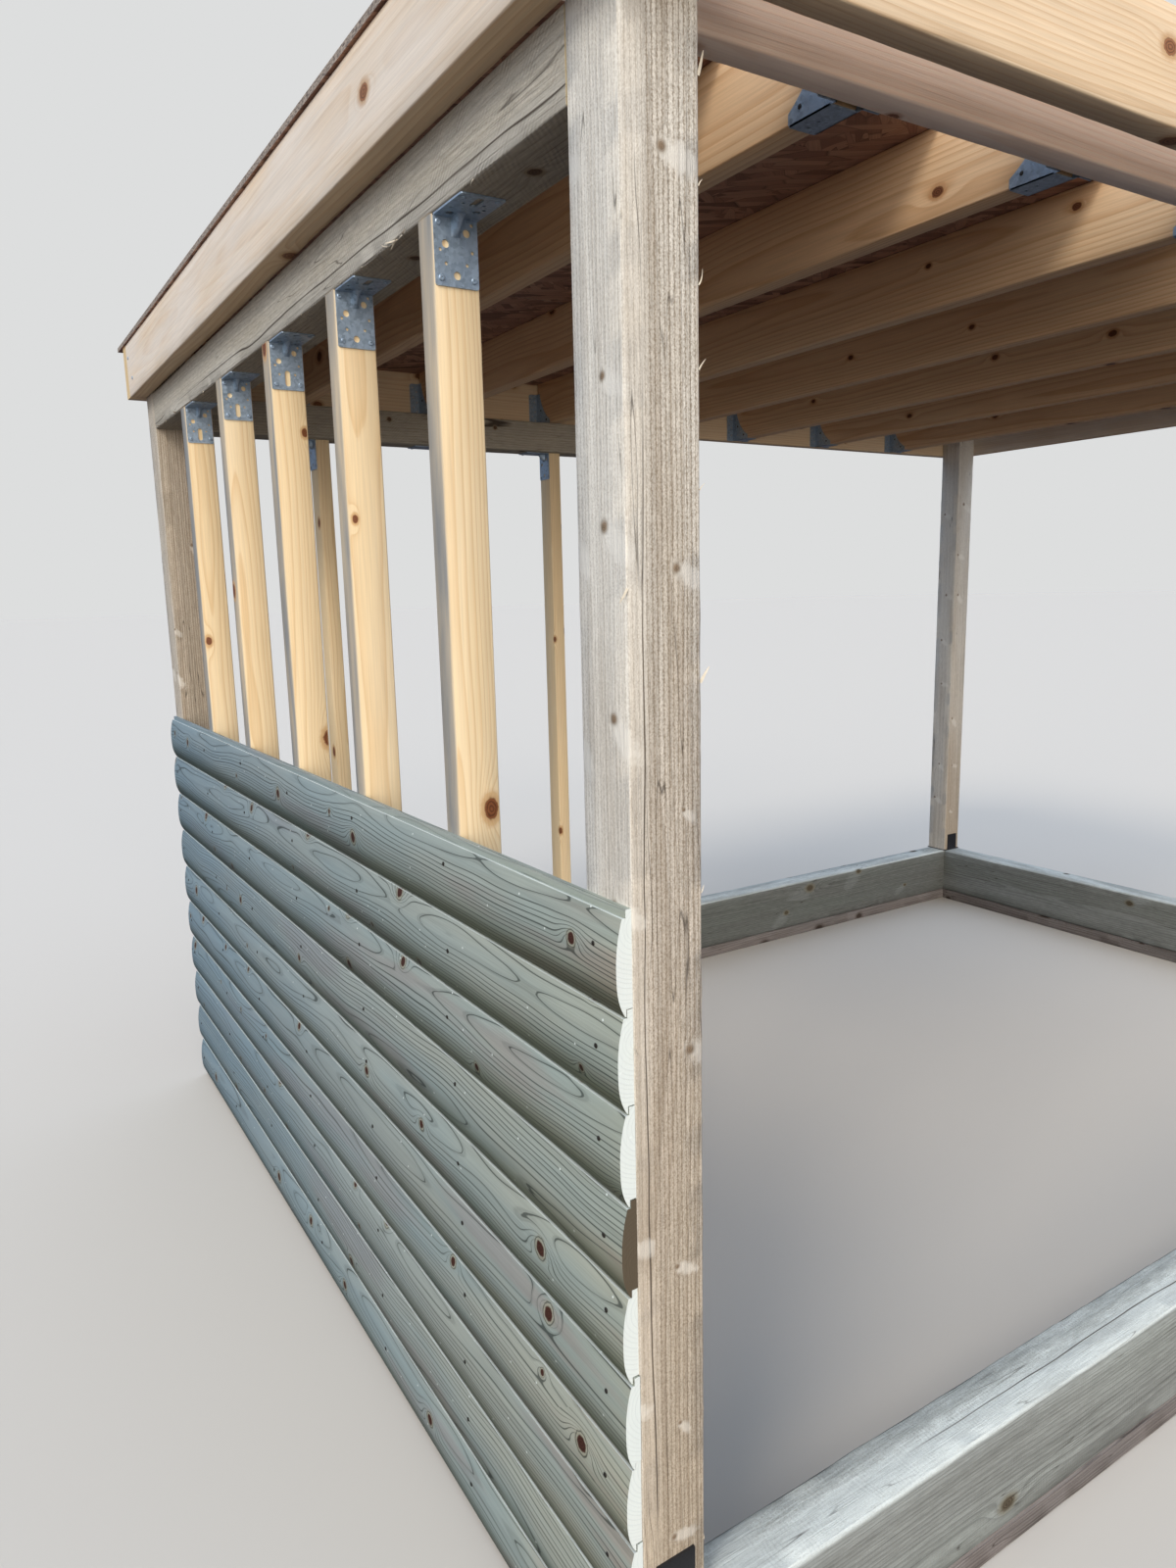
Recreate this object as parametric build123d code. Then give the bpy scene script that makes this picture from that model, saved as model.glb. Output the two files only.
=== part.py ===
"""Open timber log store: a flat roof on posts, with one side wall boarded halfway up.

Millimetres, +Z up. X runs along the open front from left to right, Y from front to back.
The pieces are placed from the outer front corner of the left post, and the finished model is
moved so that its origin is the middle of its footprint, at ground level.
"""

import os

from build123d import *

# Overall sizes, over the outer faces of the posts.
STORE_WIDTH = 3670.0
STORE_DEPTH = 2545.0
HEADROOM = 1820.0

# Timber sections.
POST_SIDE = 100.0
BEAM_SIDE = 100.0
SLEEPER_WIDTH = 100.0
SLEEPER_HEIGHT = 200.0
BASE_THICKNESS = 45.0
STUD_WIDTH = 70.0
STUD_THICKNESS = 45.0
RIM_HEIGHT = 147.0
RIM_THICKNESS = 45.0
JOIST_THICKNESS = 45.0
DECK_THICKNESS = 11.0
SLEEPER_ARRIS = 6.0
STUD_ARRIS = 3.0

# Places.
FRONT_SLEEPER_STEP = 45.0
HEADER_SETBACK = 80.0
JOIST_END_GAP = 10.0
MIDDLE_POST_SHARE = 0.5
DECK_START = 350.0
DECK_FRONT_ROW = 1220.0
DECK_OVERHANG_SIDE = 5.0
DECK_OVERHANG_BACK = 60.0
DECK_GAP = 3.0

# Repeats.
JOIST_COUNT = 7
LEFT_STUD_COUNT = 5
BACK_STUD_COUNT = 3
BOARD_COUNT = 10
ROUND_HOLE_BRACKET_COUNT = 2
FRONT_ROW_JOIST_COUNT = 4
BACK_ROW_JOIST_COUNT = 2

# Log-lap board.
BOARD_COVER = 119.3
BOARD_THICKNESS = 22.0
BOARD_EDGE = 13.0
TONGUE_THICKNESS = 8.0
TONGUE_HEIGHT = 9.0
TONGUE_PLAY = 1.0
BOARD_GROUND_GAP = 6.0

# Joist hanger.
HANGER_SHEET = 2.0
HANGER_SEAT = 88.0
HANGER_HEIGHT = 110.0
HANGER_LIP = 14.0
HANGER_SHOULDER = 20.0
HANGER_HOLLOW = 12.0
HANGER_FLANGE = 34.0

# Angle bracket.
BRACKET_LEG = 90.0
BRACKET_WIDTH = 65.0
BRACKET_SHEET = 2.5
BRACKET_BOLT_HOLE = 11.0
BRACKET_HOLE_SPACING = 32.0
BRACKET_NEAR_HOLE = 19.0
BRACKET_FAR_HOLE = 36.0
BRACKET_END_HOLE = 75.0
BRACKET_SLOT_MIDDLE = 68.0
BRACKET_SLOT_LENGTH = 30.0
BRACKET_RIB_WIDTH = 12.0
BRACKET_RIB_RISE = 4.0
BRACKET_RIB_REACH = 24.0

# Post shoe.
SHOE_SHEET = 4.0
SHOE_EAR_HEIGHT = 75.0
SHOE_EAR_WIDTH = 60.0

# Levels, from the ground up.
SLEEPER_BOTTOM = BASE_THICKNESS
SLEEPER_TOP = SLEEPER_BOTTOM + SLEEPER_HEIGHT
BEAM_BOTTOM = SLEEPER_TOP + HEADROOM
BEAM_TOP = BEAM_BOTTOM + BEAM_SIDE
RIM_BOTTOM = BEAM_TOP
RIM_TOP = RIM_BOTTOM + RIM_HEIGHT
JOIST_BOTTOM = RIM_BOTTOM + HANGER_SHEET

# Lines in plan.
HEADER_FRONT = HEADER_SETBACK
HEADER_BACK = HEADER_FRONT + RIM_THICKNESS
MIDDLE_POST_LEFT = STORE_WIDTH * MIDDLE_POST_SHARE - POST_SIDE / 2
RIGHT_POST_LEFT = STORE_WIDTH - POST_SIDE
BACK_POST_FRONT = STORE_DEPTH - POST_SIDE
DECK_LEFT = -RIM_THICKNESS - DECK_OVERHANG_SIDE
DECK_RIGHT = STORE_WIDTH + RIM_THICKNESS + DECK_OVERHANG_SIDE
DECK_BACK = STORE_DEPTH + RIM_THICKNESS + DECK_OVERHANG_BACK
OUTER_FRONT = min(-RIM_THICKNESS, -FRONT_SLEEPER_STEP)
TO_ORIGIN = Vector(-(DECK_LEFT + DECK_RIGHT) / 2, -(OUTER_FRONT + DECK_BACK) / 2, 0)


def block(low, high):
    """Return a box between two opposite corners."""
    size = Vector(*high) - Vector(*low)
    return Pos(*low) * Box(size.X, size.Y, size.Z, align=(Align.MIN, Align.MIN, Align.MIN))


def spread(start, end, count, thickness):
    """Return the near faces of equal pieces set with equal clear gaps between start and end."""
    gap = (end - start - count * thickness) / (count + 1)
    return [start + gap + index * (thickness + gap) for index in range(count)]


JOIST_LEFTS = spread(0, STORE_WIDTH, JOIST_COUNT, JOIST_THICKNESS)
LEFT_STUD_FRONTS = spread(POST_SIDE, BACK_POST_FRONT, LEFT_STUD_COUNT, STUD_THICKNESS)
BACK_STUD_LEFTS = spread(POST_SIDE, MIDDLE_POST_LEFT, BACK_STUD_COUNT, STUD_THICKNESS)


def write(name, solids):
    """Move the pieces to the model's origin and write them as one node."""
    shapes = [Pos(TO_ORIGIN) * solid for solid in solids]
    shape = shapes[0] if len(shapes) == 1 else Compound(children=shapes)
    export_step(shape, f"parts/{name}.step")


def base_timbers():
    """Lay the four thin timbers that level the ground under the sleepers."""
    front_back = SLEEPER_WIDTH - FRONT_SLEEPER_STEP
    back_front = STORE_DEPTH - SLEEPER_WIDTH
    right_left = STORE_WIDTH - SLEEPER_WIDTH
    write("front_base_board", [
        block((0, -FRONT_SLEEPER_STEP, 0), (STORE_WIDTH, front_back, BASE_THICKNESS))])
    write("back_base_board", [
        block((0, back_front, 0), (STORE_WIDTH, STORE_DEPTH, BASE_THICKNESS))])
    write("left_base_board", [
        block((0, front_back, 0), (SLEEPER_WIDTH, back_front, BASE_THICKNESS))])
    write("right_base_board", [
        block((right_left, front_back, 0), (STORE_WIDTH, back_front, BASE_THICKNESS))])


def sleeper(low, high, axis):
    """Return one sleeper on edge, its long top edges worn off by a small chamfer."""
    body = block((*low, SLEEPER_BOTTOM), (*high, SLEEPER_TOP))
    long_edges = body.edges().filter_by(axis).group_by(Axis.Z)[-1]
    return chamfer(long_edges, SLEEPER_ARRIS)


def sleepers():
    """Set the ring of sleepers on edge: the side ones butt between the front and back ones."""
    front_back = SLEEPER_WIDTH - FRONT_SLEEPER_STEP
    back_front = STORE_DEPTH - SLEEPER_WIDTH
    right_left = STORE_WIDTH - SLEEPER_WIDTH
    write("front_sleeper", [
        sleeper((0, -FRONT_SLEEPER_STEP), (STORE_WIDTH, front_back), Axis.X)])
    write("back_sleeper", [
        sleeper((0, back_front), (STORE_WIDTH, STORE_DEPTH), Axis.X)])
    write("left_sleeper", [
        sleeper((0, front_back), (SLEEPER_WIDTH, back_front), Axis.Y)])
    write("right_sleeper", [
        sleeper((right_left, front_back), (STORE_WIDTH, back_front), Axis.Y)])


def posts():
    """Stand the four corner posts and the middle post of the back, each in its shoe."""
    places = {
        "front_left_post": (0, 0),
        "front_right_post": (RIGHT_POST_LEFT, 0),
        "back_left_post": (0, BACK_POST_FRONT),
        "back_middle_post": (MIDDLE_POST_LEFT, BACK_POST_FRONT),
        "back_right_post": (RIGHT_POST_LEFT, BACK_POST_FRONT),
    }
    shoes = []
    for name, (left, front) in places.items():
        top = BEAM_TOP if name == "back_middle_post" else RIM_TOP
        low = (left, front, SLEEPER_TOP + SHOE_SHEET)
        high = (left + POST_SIDE, front + POST_SIDE, top)
        write(name, [block(low, high)])
        shoes.append(post_shoe(left, front))
    write("post_shoes", shoes)


def post_shoe(left, front):
    """Return a bolt-down shoe: a plate under the post and an ear on its front and back face."""
    middle = left + POST_SIDE / 2
    ear_low = middle - SHOE_EAR_WIDTH / 2
    ear_high = middle + SHOE_EAR_WIDTH / 2
    back = front + POST_SIDE
    plate = block((left, front - SHOE_SHEET, SLEEPER_TOP),
                  (left + POST_SIDE, back + SHOE_SHEET, SLEEPER_TOP + SHOE_SHEET))
    ear_top = SLEEPER_TOP + SHOE_SHEET + SHOE_EAR_HEIGHT
    near_ear = block((ear_low, front - SHOE_SHEET, SLEEPER_TOP), (ear_high, front, ear_top))
    far_ear = block((ear_low, back, SLEEPER_TOP), (ear_high, back + SHOE_SHEET, ear_top))
    return plate + near_ear + far_ear


def beams():
    """Fit the left beam and the lower back beam between their posts."""
    write("left_beam", [
        block((0, POST_SIDE, BEAM_BOTTOM), (BEAM_SIDE, BACK_POST_FRONT, BEAM_TOP))])
    write("back_beam", [
        block((POST_SIDE, STORE_DEPTH - BEAM_SIDE, BEAM_BOTTOM),
              (MIDDLE_POST_LEFT, STORE_DEPTH, BEAM_TOP))])


def roof_rim():
    """Fix the roof's four outer boards round the posts, and fit the header between the front posts."""
    right = STORE_WIDTH + RIM_THICKNESS
    back = STORE_DEPTH + RIM_THICKNESS
    write("front_fascia", [
        block((0, -RIM_THICKNESS, RIM_BOTTOM), (STORE_WIDTH, 0, RIM_TOP))])
    write("back_fascia", [
        block((-RIM_THICKNESS, STORE_DEPTH, RIM_BOTTOM), (right, back, RIM_TOP))])
    write("left_fascia", [
        block((-RIM_THICKNESS, -RIM_THICKNESS, RIM_BOTTOM), (0, STORE_DEPTH, RIM_TOP))])
    write("right_fascia", [
        block((STORE_WIDTH, -RIM_THICKNESS, RIM_BOTTOM), (right, STORE_DEPTH, RIM_TOP))])
    write("front_header", [
        block((POST_SIDE, HEADER_FRONT, RIM_BOTTOM), (RIGHT_POST_LEFT, HEADER_BACK, RIM_TOP))])


def joists():
    """Hang the joists between the header and the back board, a little short at both ends."""
    front = HEADER_BACK + JOIST_END_GAP
    back = STORE_DEPTH - JOIST_END_GAP
    write("roof_joists", [
        block((left, front, JOIST_BOTTOM), (left + JOIST_THICKNESS, back, RIM_TOP))
        for left in JOIST_LEFTS])
    write("front_joist_hangers", [
        Pos(left, HEADER_BACK, JOIST_BOTTOM) * joist_hanger() for left in JOIST_LEFTS])
    write("back_joist_hangers", [
        Pos(left + JOIST_THICKNESS, STORE_DEPTH, JOIST_BOTTOM) * Rot(0, 0, 180) * joist_hanger()
        for left in JOIST_LEFTS])


def joist_hanger():
    """Return a sheet hanger that runs along +Y from the board that carries it.

    The origin is on that board, under the joist's left side. The seat and two cheeks with a
    hollow back edge hold the joist's end, and a flange on each side lies against the board.
    """
    seat = block((-HANGER_SHEET, JOIST_END_GAP, -HANGER_SHEET),
                 (JOIST_THICKNESS + HANGER_SHEET, HANGER_SEAT, 0))
    with BuildSketch(Plane.YZ) as outline:
        with BuildLine():
            base = Polyline((0, HANGER_HEIGHT), (0, -HANGER_SHEET), (HANGER_SEAT, -HANGER_SHEET),
                            (HANGER_SEAT, HANGER_LIP))
            top = Line(base @ 0, (HANGER_SHOULDER, HANGER_HEIGHT))
            SagittaArc(base @ 1, top @ 1, HANGER_HOLLOW)
        make_face()
    cheek = extrude(outline.sketch, -HANGER_SHEET)
    cheeks = cheek + Pos(JOIST_THICKNESS + HANGER_SHEET, 0, 0) * cheek
    flange = block((-HANGER_FLANGE, 0, -HANGER_SHEET), (0, HANGER_SHEET, HANGER_HEIGHT))
    right_flange = Pos(JOIST_THICKNESS, 0, 0) * mirror(flange, Plane.YZ)
    return seat + cheeks + flange + right_flange


def bracket_plate(with_slot, far_side):
    """Return one flat leg of the angle bracket, standing on the bend, with its holes.

    One bolt hole is nearer to the bend than the other: far_side is 1 or -1, the side in X of the
    farther one. The third is at the leg's end, a round hole or a slot.
    """
    half = BRACKET_HOLE_SPACING / 2
    with BuildSketch(Plane.XZ) as face:
        with Locations((0, BRACKET_LEG / 2)):
            Rectangle(BRACKET_WIDTH, BRACKET_LEG)
        with Locations((far_side * half, BRACKET_FAR_HOLE), (-far_side * half, BRACKET_NEAR_HOLE)):
            Circle(BRACKET_BOLT_HOLE / 2, mode=Mode.SUBTRACT)
        if with_slot:
            with Locations((0, BRACKET_SLOT_MIDDLE)):
                SlotOverall(BRACKET_SLOT_LENGTH, BRACKET_BOLT_HOLE, rotation=90, mode=Mode.SUBTRACT)
        else:
            with Locations((0, BRACKET_END_HOLE)):
                Circle(BRACKET_BOLT_HOLE / 2, mode=Mode.SUBTRACT)
    return extrude(face.sketch, BRACKET_SHEET)


def angle_bracket(slot_in_stud_leg):
    """Return an angle bracket that hangs below the origin.

    Its bend is at the origin, one leg runs down a face that looks along -Y, and the other runs
    along -Y under the beam. A pressed rib stiffens the bend.
    """
    stud_leg = mirror(bracket_plate(slot_in_stud_leg, far_side=-1), Plane.XY)
    beam_leg = Rot(90, 0, 0) * bracket_plate(not slot_in_stud_leg, far_side=1)
    rib = bracket_rib()
    return stud_leg + beam_leg + rib


def bracket_rib():
    """Return the pressed rib that crosses the bend as a raised web with a rounded back."""
    reach = BRACKET_RIB_REACH
    rise = BRACKET_RIB_RISE
    with BuildSketch(Plane.YZ) as web:
        with BuildLine():
            legs = Polyline((-BRACKET_SHEET, -reach), (-BRACKET_SHEET, -BRACKET_SHEET),
                            (-reach, -BRACKET_SHEET))
            SagittaArc(legs @ 0, legs @ 1, rise)
        make_face()
    return extrude(web.sketch, BRACKET_RIB_WIDTH / 2, both=True)


def studs():
    """Stand the studs of the left and back wall, with an angle bracket at each head."""
    left_studs = []
    left_brackets = []
    for index, front in enumerate(LEFT_STUD_FRONTS):
        left_studs.append(stud(STUD_WIDTH, STUD_THICKNESS, 0, front))
        bracket = angle_bracket(slot_in_stud_leg=index >= ROUND_HOLE_BRACKET_COUNT)
        left_brackets.append(Pos(STUD_WIDTH / 2, front, BEAM_BOTTOM) * bracket)
    write("left_studs", left_studs)
    write("left_stud_brackets", left_brackets)
    back_studs = []
    back_brackets = []
    for left in BACK_STUD_LEFTS:
        back_studs.append(stud(STUD_THICKNESS, STUD_WIDTH, left, STORE_DEPTH - STUD_WIDTH))
        middle = STORE_DEPTH - STUD_WIDTH / 2
        bracket = Rot(0, 0, -90) * angle_bracket(slot_in_stud_leg=False)
        back_brackets.append(Pos(left, middle, BEAM_BOTTOM) * bracket)
    write("back_studs", back_studs)
    write("back_stud_brackets", back_brackets)


def stud(across, along, left, front):
    """Return one planed stud with eased long edges, from the sleeper to the beam."""
    body = block((left, front, SLEEPER_TOP), (left + across, front + along, BEAM_BOTTOM))
    return fillet(body.edges().filter_by(Axis.Z), STUD_ARRIS)


def board_profile():
    """Return the section of a log-lap board, in X and Z, its back on X = 0 and its foot on Z = 0.

    The face is an arc, a tongue stands on the top and a rebate at the back of the foot takes the
    tongue of the board below.
    """
    rebate = TONGUE_THICKNESS + TONGUE_PLAY
    rebate_top = TONGUE_HEIGHT + TONGUE_PLAY
    with BuildSketch(Plane.XZ) as section:
        with BuildLine():
            inside = Polyline((-BOARD_EDGE, 0), (-rebate, 0), (-rebate, rebate_top), (0, rebate_top),
                              (0, BOARD_COVER + TONGUE_HEIGHT),
                              (-TONGUE_THICKNESS, BOARD_COVER + TONGUE_HEIGHT),
                              (-TONGUE_THICKNESS, BOARD_COVER), (-BOARD_EDGE, BOARD_COVER))
            ThreePointArc(inside @ 1, (-BOARD_THICKNESS, BOARD_COVER / 2), inside @ 0)
        make_face()
    return section.sketch


def cladding():
    """Stack the log-lap boards up the outside of the left wall."""
    board = extrude(board_profile(), -STORE_DEPTH)
    for index in range(BOARD_COUNT):
        foot = BOARD_GROUND_GAP + index * BOARD_COVER
        write(f"cladding_board_{index + 1}", [Pos(0, 0, foot) * board])


def roof_deck():
    """Lay the two rows of sheets that are on, each with a cross joint over a joist.

    The strip in front of them, over the header, is still open.
    """
    half_gap = DECK_GAP / 2
    row_joint = DECK_START + DECK_FRONT_ROW
    rows = {
        "roof_deck_front": (DECK_START, row_joint - half_gap, FRONT_ROW_JOIST_COUNT),
        "roof_deck_back": (row_joint + half_gap, DECK_BACK, BACK_ROW_JOIST_COUNT),
    }
    for name, (low, high, joists_left_of_joint) in rows.items():
        joint = JOIST_LEFTS[joists_left_of_joint] + JOIST_THICKNESS / 2
        left_sheet = block((DECK_LEFT, low, RIM_TOP),
                           (joint - half_gap, high, RIM_TOP + DECK_THICKNESS))
        right_sheet = block((joint + half_gap, low, RIM_TOP),
                            (DECK_RIGHT, high, RIM_TOP + DECK_THICKNESS))
        write(name, [left_sheet, right_sheet])


os.makedirs("parts", exist_ok=True)
base_timbers()
sleepers()
posts()
beams()
roof_rim()
joists()
studs()
cladding()
roof_deck()
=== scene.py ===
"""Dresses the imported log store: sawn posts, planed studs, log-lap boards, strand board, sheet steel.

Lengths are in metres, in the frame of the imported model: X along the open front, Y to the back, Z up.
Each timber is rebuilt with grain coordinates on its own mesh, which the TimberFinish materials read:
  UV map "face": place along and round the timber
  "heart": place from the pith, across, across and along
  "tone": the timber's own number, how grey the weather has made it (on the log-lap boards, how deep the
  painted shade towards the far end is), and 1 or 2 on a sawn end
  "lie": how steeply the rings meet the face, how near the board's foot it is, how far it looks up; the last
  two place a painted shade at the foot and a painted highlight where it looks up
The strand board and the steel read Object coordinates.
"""

import logging
import math
import random
from collections.abc import Sequence
from dataclasses import dataclass, field
from enum import Enum

import bmesh
import bpy
from mathutils import Matrix, Vector, noise


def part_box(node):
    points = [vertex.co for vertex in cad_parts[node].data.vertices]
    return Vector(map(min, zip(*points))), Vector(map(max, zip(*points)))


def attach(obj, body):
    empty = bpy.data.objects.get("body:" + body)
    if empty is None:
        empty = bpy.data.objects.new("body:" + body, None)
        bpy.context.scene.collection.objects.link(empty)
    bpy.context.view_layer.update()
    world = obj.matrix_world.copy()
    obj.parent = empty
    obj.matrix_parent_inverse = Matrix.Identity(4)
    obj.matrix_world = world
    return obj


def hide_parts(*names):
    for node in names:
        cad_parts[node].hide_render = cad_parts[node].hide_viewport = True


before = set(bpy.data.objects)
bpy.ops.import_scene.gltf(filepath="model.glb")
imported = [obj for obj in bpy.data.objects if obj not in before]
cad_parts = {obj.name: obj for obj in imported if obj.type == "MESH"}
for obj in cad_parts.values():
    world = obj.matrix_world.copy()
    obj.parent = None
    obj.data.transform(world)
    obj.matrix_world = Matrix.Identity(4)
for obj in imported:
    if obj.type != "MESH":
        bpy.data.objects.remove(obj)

log = logging.getLogger("log_store")

ROOT = "root"
LEFT_STUDS = 5
BACK_STUDS = 3
JOISTS = 7
PLANK = 0.045  # Thickness of studs and joists.
POST = 0.1
WOOD_CREASE = math.radians(50)  # Edges sharper than this stay sharp.
STEEL_CREASE = math.radians(35)
SECTION_STEP = 0.03
SEEDS = {
    "sleeper": 100, "base": 120, "post": 200, "beam": 220, "roof": 300, "joist": 320,
    "left_stud": 400, "back_stud": 420, "loglap": 500,
}
NAIL_PROFILE = ((0.0034, 0.0), (0.0036, 0.0005), (0.0030, 0.0010), (0.0015, 0.0012))
SCREW_PROFILE = ((0.0046, 0.0), (0.0046, 0.0012), (0.0036, 0.0022), (0.0016, 0.0024), (0.0010, 0.0008))

Pair = tuple[float, float]
Triple = tuple[float, float, float]
Node = bpy.types.Node
Socket = bpy.types.NodeSocket
Tree = bpy.types.NodeTree
Mesh = bpy.types.Mesh
Material = bpy.types.Material
# What an input takes. A node stands for its first output, a string for a hex colour.
Value = Node | Socket | float | str | tuple


class Run(Enum):
    """The direction that a timber's length runs in, with its two cross directions after it."""

    ALONG_X = (0, 1, 2)
    ALONG_Y = (1, 2, 0)
    UPRIGHT = (2, 0, 1)


def linear(hex_colour: str) -> tuple[float, float, float, float]:
    """Turn an sRGB hex colour into linear values.

    Args:
        hex_colour: Six hex digits after a hash.

    Returns:
        Red, green, blue and an alpha of 1.
    """
    parts = [int(hex_colour[i : i + 2], 16) / 255 for i in (1, 3, 5)]
    channels = [p / 12.92 if p <= 0.04045 else ((p + 0.055) / 1.055) ** 2.4 for p in parts]
    return (*channels, 1.0)


class Graph:
    """A node tree under construction."""

    def __init__(self, tree: Tree) -> None:
        """Start from an empty tree."""
        self.tree = tree
        tree.nodes.clear()

    def add(self, kind: str, links: dict | None = None, **settings: object) -> Node:
        """Add one node.

        Args:
            kind: The node's type.
            links: Socket name or index to a value, a socket, a node whose first output is used, or a
                list of those for a socket that takes several.
            settings: The node's own settings.

        Returns:
            The new node.
        """
        node = self.tree.nodes.new(kind)
        for name, value in settings.items():
            setattr(node, name, value)
        for key, value in (links or {}).items():
            for part in value if isinstance(value, list) else [value]:
                source = part.outputs[0] if isinstance(part, Node) else part
                if isinstance(source, Socket):
                    self.tree.links.new(source, node.inputs[key])
                else:
                    node.inputs[key].default_value = source
        return node

    def math(self, how: str, *values: Value, clamp: bool = False) -> Node:
        """Add a sum on numbers, with the operation, what it works on and whether it stays from 0 to 1."""
        return self.add("ShaderNodeMath", dict(enumerate(values)), operation=how, use_clamp=clamp)

    def vector(self, how: str, *values: Value) -> Node:
        """Add a sum on vectors, with the operation and what it works on."""
        return self.add("ShaderNodeVectorMath", dict(enumerate(values)), operation=how)

    def point(self, x: Value, y: Value, z: Value) -> Node:
        """Put three numbers together as a vector."""
        return self.add("ShaderNodeCombineXYZ", {0: x, 1: y, 2: z})

    def noise(self, place: Value, scale: float, detail: float = 2.0) -> Node:
        """Add soft noise at a place, of a scale and a detail."""
        return self.add("ShaderNodeTexNoise", {"Vector": place, "Scale": scale, "Detail": detail})

    def mix(self, share: Value, first: Value, second: Value, how: str = "MIX") -> Node:
        """Mix two colours.

        Args:
            share: How much of the second, from 0 to 1.
            first: A colour socket or node, or a hex colour.
            second: The same.
            how: The way of mixing.

        Returns:
            The new node.
        """
        pair = [linear(value) if isinstance(value, str) else value for value in (first, second)]
        return self.add("ShaderNodeMixRGB", {0: share, 1: pair[0], 2: pair[1]}, blend_type=how)

    def span(
        self,
        value: Value,
        low: float = 0.0,
        high: float = 1.0,
        to: Pair = (0.0, 1.0),
        smooth: bool = False,
    ) -> Node:
        """Carry a range of values over to another range.

        Args:
            value: What is carried over.
            low: Start of its range.
            high: End of its range.
            to: What the start and the end become.
            smooth: Whether it eases in and out.

        Returns:
            The new node.
        """
        kind = "SMOOTHSTEP" if smooth else "LINEAR"
        ends = {0: value, 1: low, 2: high, 3: to[0], 4: to[1]}
        return self.add("ShaderNodeMapRange", ends, interpolation_type=kind)

    def stretched(self, place: Value, scales: Triple, detail: float) -> Node:
        """Add soft noise with its own number of waves a metre in each direction."""
        return self.noise(self.vector("MULTIPLY", place, scales), 1.0, detail)

    def cells(self, place: Value, **settings: object) -> Node:
        """Add flat cells, one a unit."""
        values = {"Vector": place, "Scale": 1.0}
        return self.add("ShaderNodeTexVoronoi", values, voronoi_dimensions="2D", **settings)

    def length(self, value: Value) -> Socket:
        """Give a vector's length."""
        return self.vector("LENGTH", value).outputs["Value"]

    def parts(self, value: Value) -> list[Socket]:
        """Take a vector apart into its three numbers."""
        return self.add("ShaderNodeSeparateXYZ", {0: value}).outputs[:]

    def channels(self, colour: Value) -> list[Socket]:
        """Take a colour apart, as three numbers that are used as chances."""
        return self.add("ShaderNodeSeparateColor", {0: colour}).outputs[:]

    def attribute(self, name: str) -> Socket:
        """Read one of the mesh's own attributes."""
        return self.add("ShaderNodeAttribute", attribute_name=name).outputs["Vector"]

    def shade(self, colour: Value, factor: Value) -> Node:
        """Multiply a colour by a factor."""
        return self.mix(1.0, colour, factor, "MULTIPLY")

    def surface(self, height: Value, strength: float, depth: float, values: dict) -> None:
        """End a material in its relief, its shader and the output.

        Args:
            height: What raises the surface.
            strength: How much of the relief shows.
            depth: How deep the relief is.
            values: The shader's other inputs.
        """
        bump = self.add("ShaderNodeBump", {"Strength": strength, "Distance": depth, "Height": height})
        shader = self.add("ShaderNodeBsdfPrincipled", {**values, "Normal": bump})
        self.add("ShaderNodeOutputMaterial", {"Surface": shader})

    def ramp(self, node: Node, stops: Sequence[tuple[float, float | str]]) -> Node:
        """Set a colour ramp's stops.

        Args:
            node: The ramp node.
            stops: Position and either a grey value or a hex colour.

        Returns:
            The same node.
        """
        elements = node.color_ramp.elements
        while len(elements) < len(stops):
            elements.new(0.5)
        for element, (place, value) in zip(elements, stops):
            element.position = place
            element.color = linear(value) if isinstance(value, str) else (value, value, value, 1)
        return node


def open_material(name: str) -> tuple[Material, Graph]:
    """Start a node material.

    Args:
        name: The material's name.

    Returns:
        The material and its empty graph.
    """
    made = bpy.data.materials.new(name)
    made.use_nodes = True
    return made, Graph(made.node_tree)


@dataclass(frozen=True)
class Grain:
    """A timber's grain coordinates, as sockets that a finish reads."""

    heart: Socket  # Place from the pith: across, across, along.
    u: Socket  # Place along the timber.
    v: Socket  # Place round the timber.
    seed: Socket  # The timber's own number.
    fade_and_shade: Socket  # How grey the weather has made it; on the log-lap boards, how deep the painted shade towards the far end is.
    end: Socket  # 1 on a sawn end, 2 on a stained one.
    steep: Socket  # How steeply the rings meet the face.
    foot: Socket  # 1 at a board's foot, where the painted shade lies.
    top: Socket  # 1 where the board looks up, where the painted highlight lies.


def read_grain(g: Graph) -> Grain:
    """Add the nodes that read a timber's grain coordinates.

    Args:
        g: The graph.

    Returns:
        The coordinates.
    """
    u, v, _ = g.parts(g.add("ShaderNodeUVMap", uv_map="face"))
    heart = g.attribute("heart")
    tone = g.parts(g.attribute("tone"))
    lie = g.parts(g.attribute("lie"))
    return Grain(heart, u, v, *tone, *lie)


# Waves a metre in each direction of the heart coordinates: across, across, along.
WOBBLE_WAVES = (22.0, 22.0, 2.0)
PATCH_WAVES = (9.0, 9.0, 1.3)
BLUSH_WAVES = (14.0, 14.0, 1.7)
# Waves a metre along and round the timber. The third sets the timbers' noise apart.
FUR_WAVES = (400.0, 620.0, 9.0)
WAVER_WAVES = (3.0, 30.0, 5.0)
CRACK_WAVES = (2.2, 42.0, 17.0)
RIDGE_WAVES = (14.0, 520.0, 0.0)
FLECKS = (9.0, 22.0, 0.0)
HALF = (0.5, 0.5, 0.5)  # The middle of a noise colour.
WOBBLE = 0.0045
OPEN_CRACK = "#2E251C"
DEEP_CRACK = "#3C3228"
LEAST_KNOT = 0.35  # The smallest knot, as a share of the largest.
RAGGED_KNOT = 0.45
KNOT_YEARS = 17.0
# Across a sawn face, the border between the smooth and the furry half, and the crack along it.
FUR_BORDER = (0.008, 0.022)
CRACK_PLACE = 0.0075
CRACK_EDGE = (0.0006, 0.0017)


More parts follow.
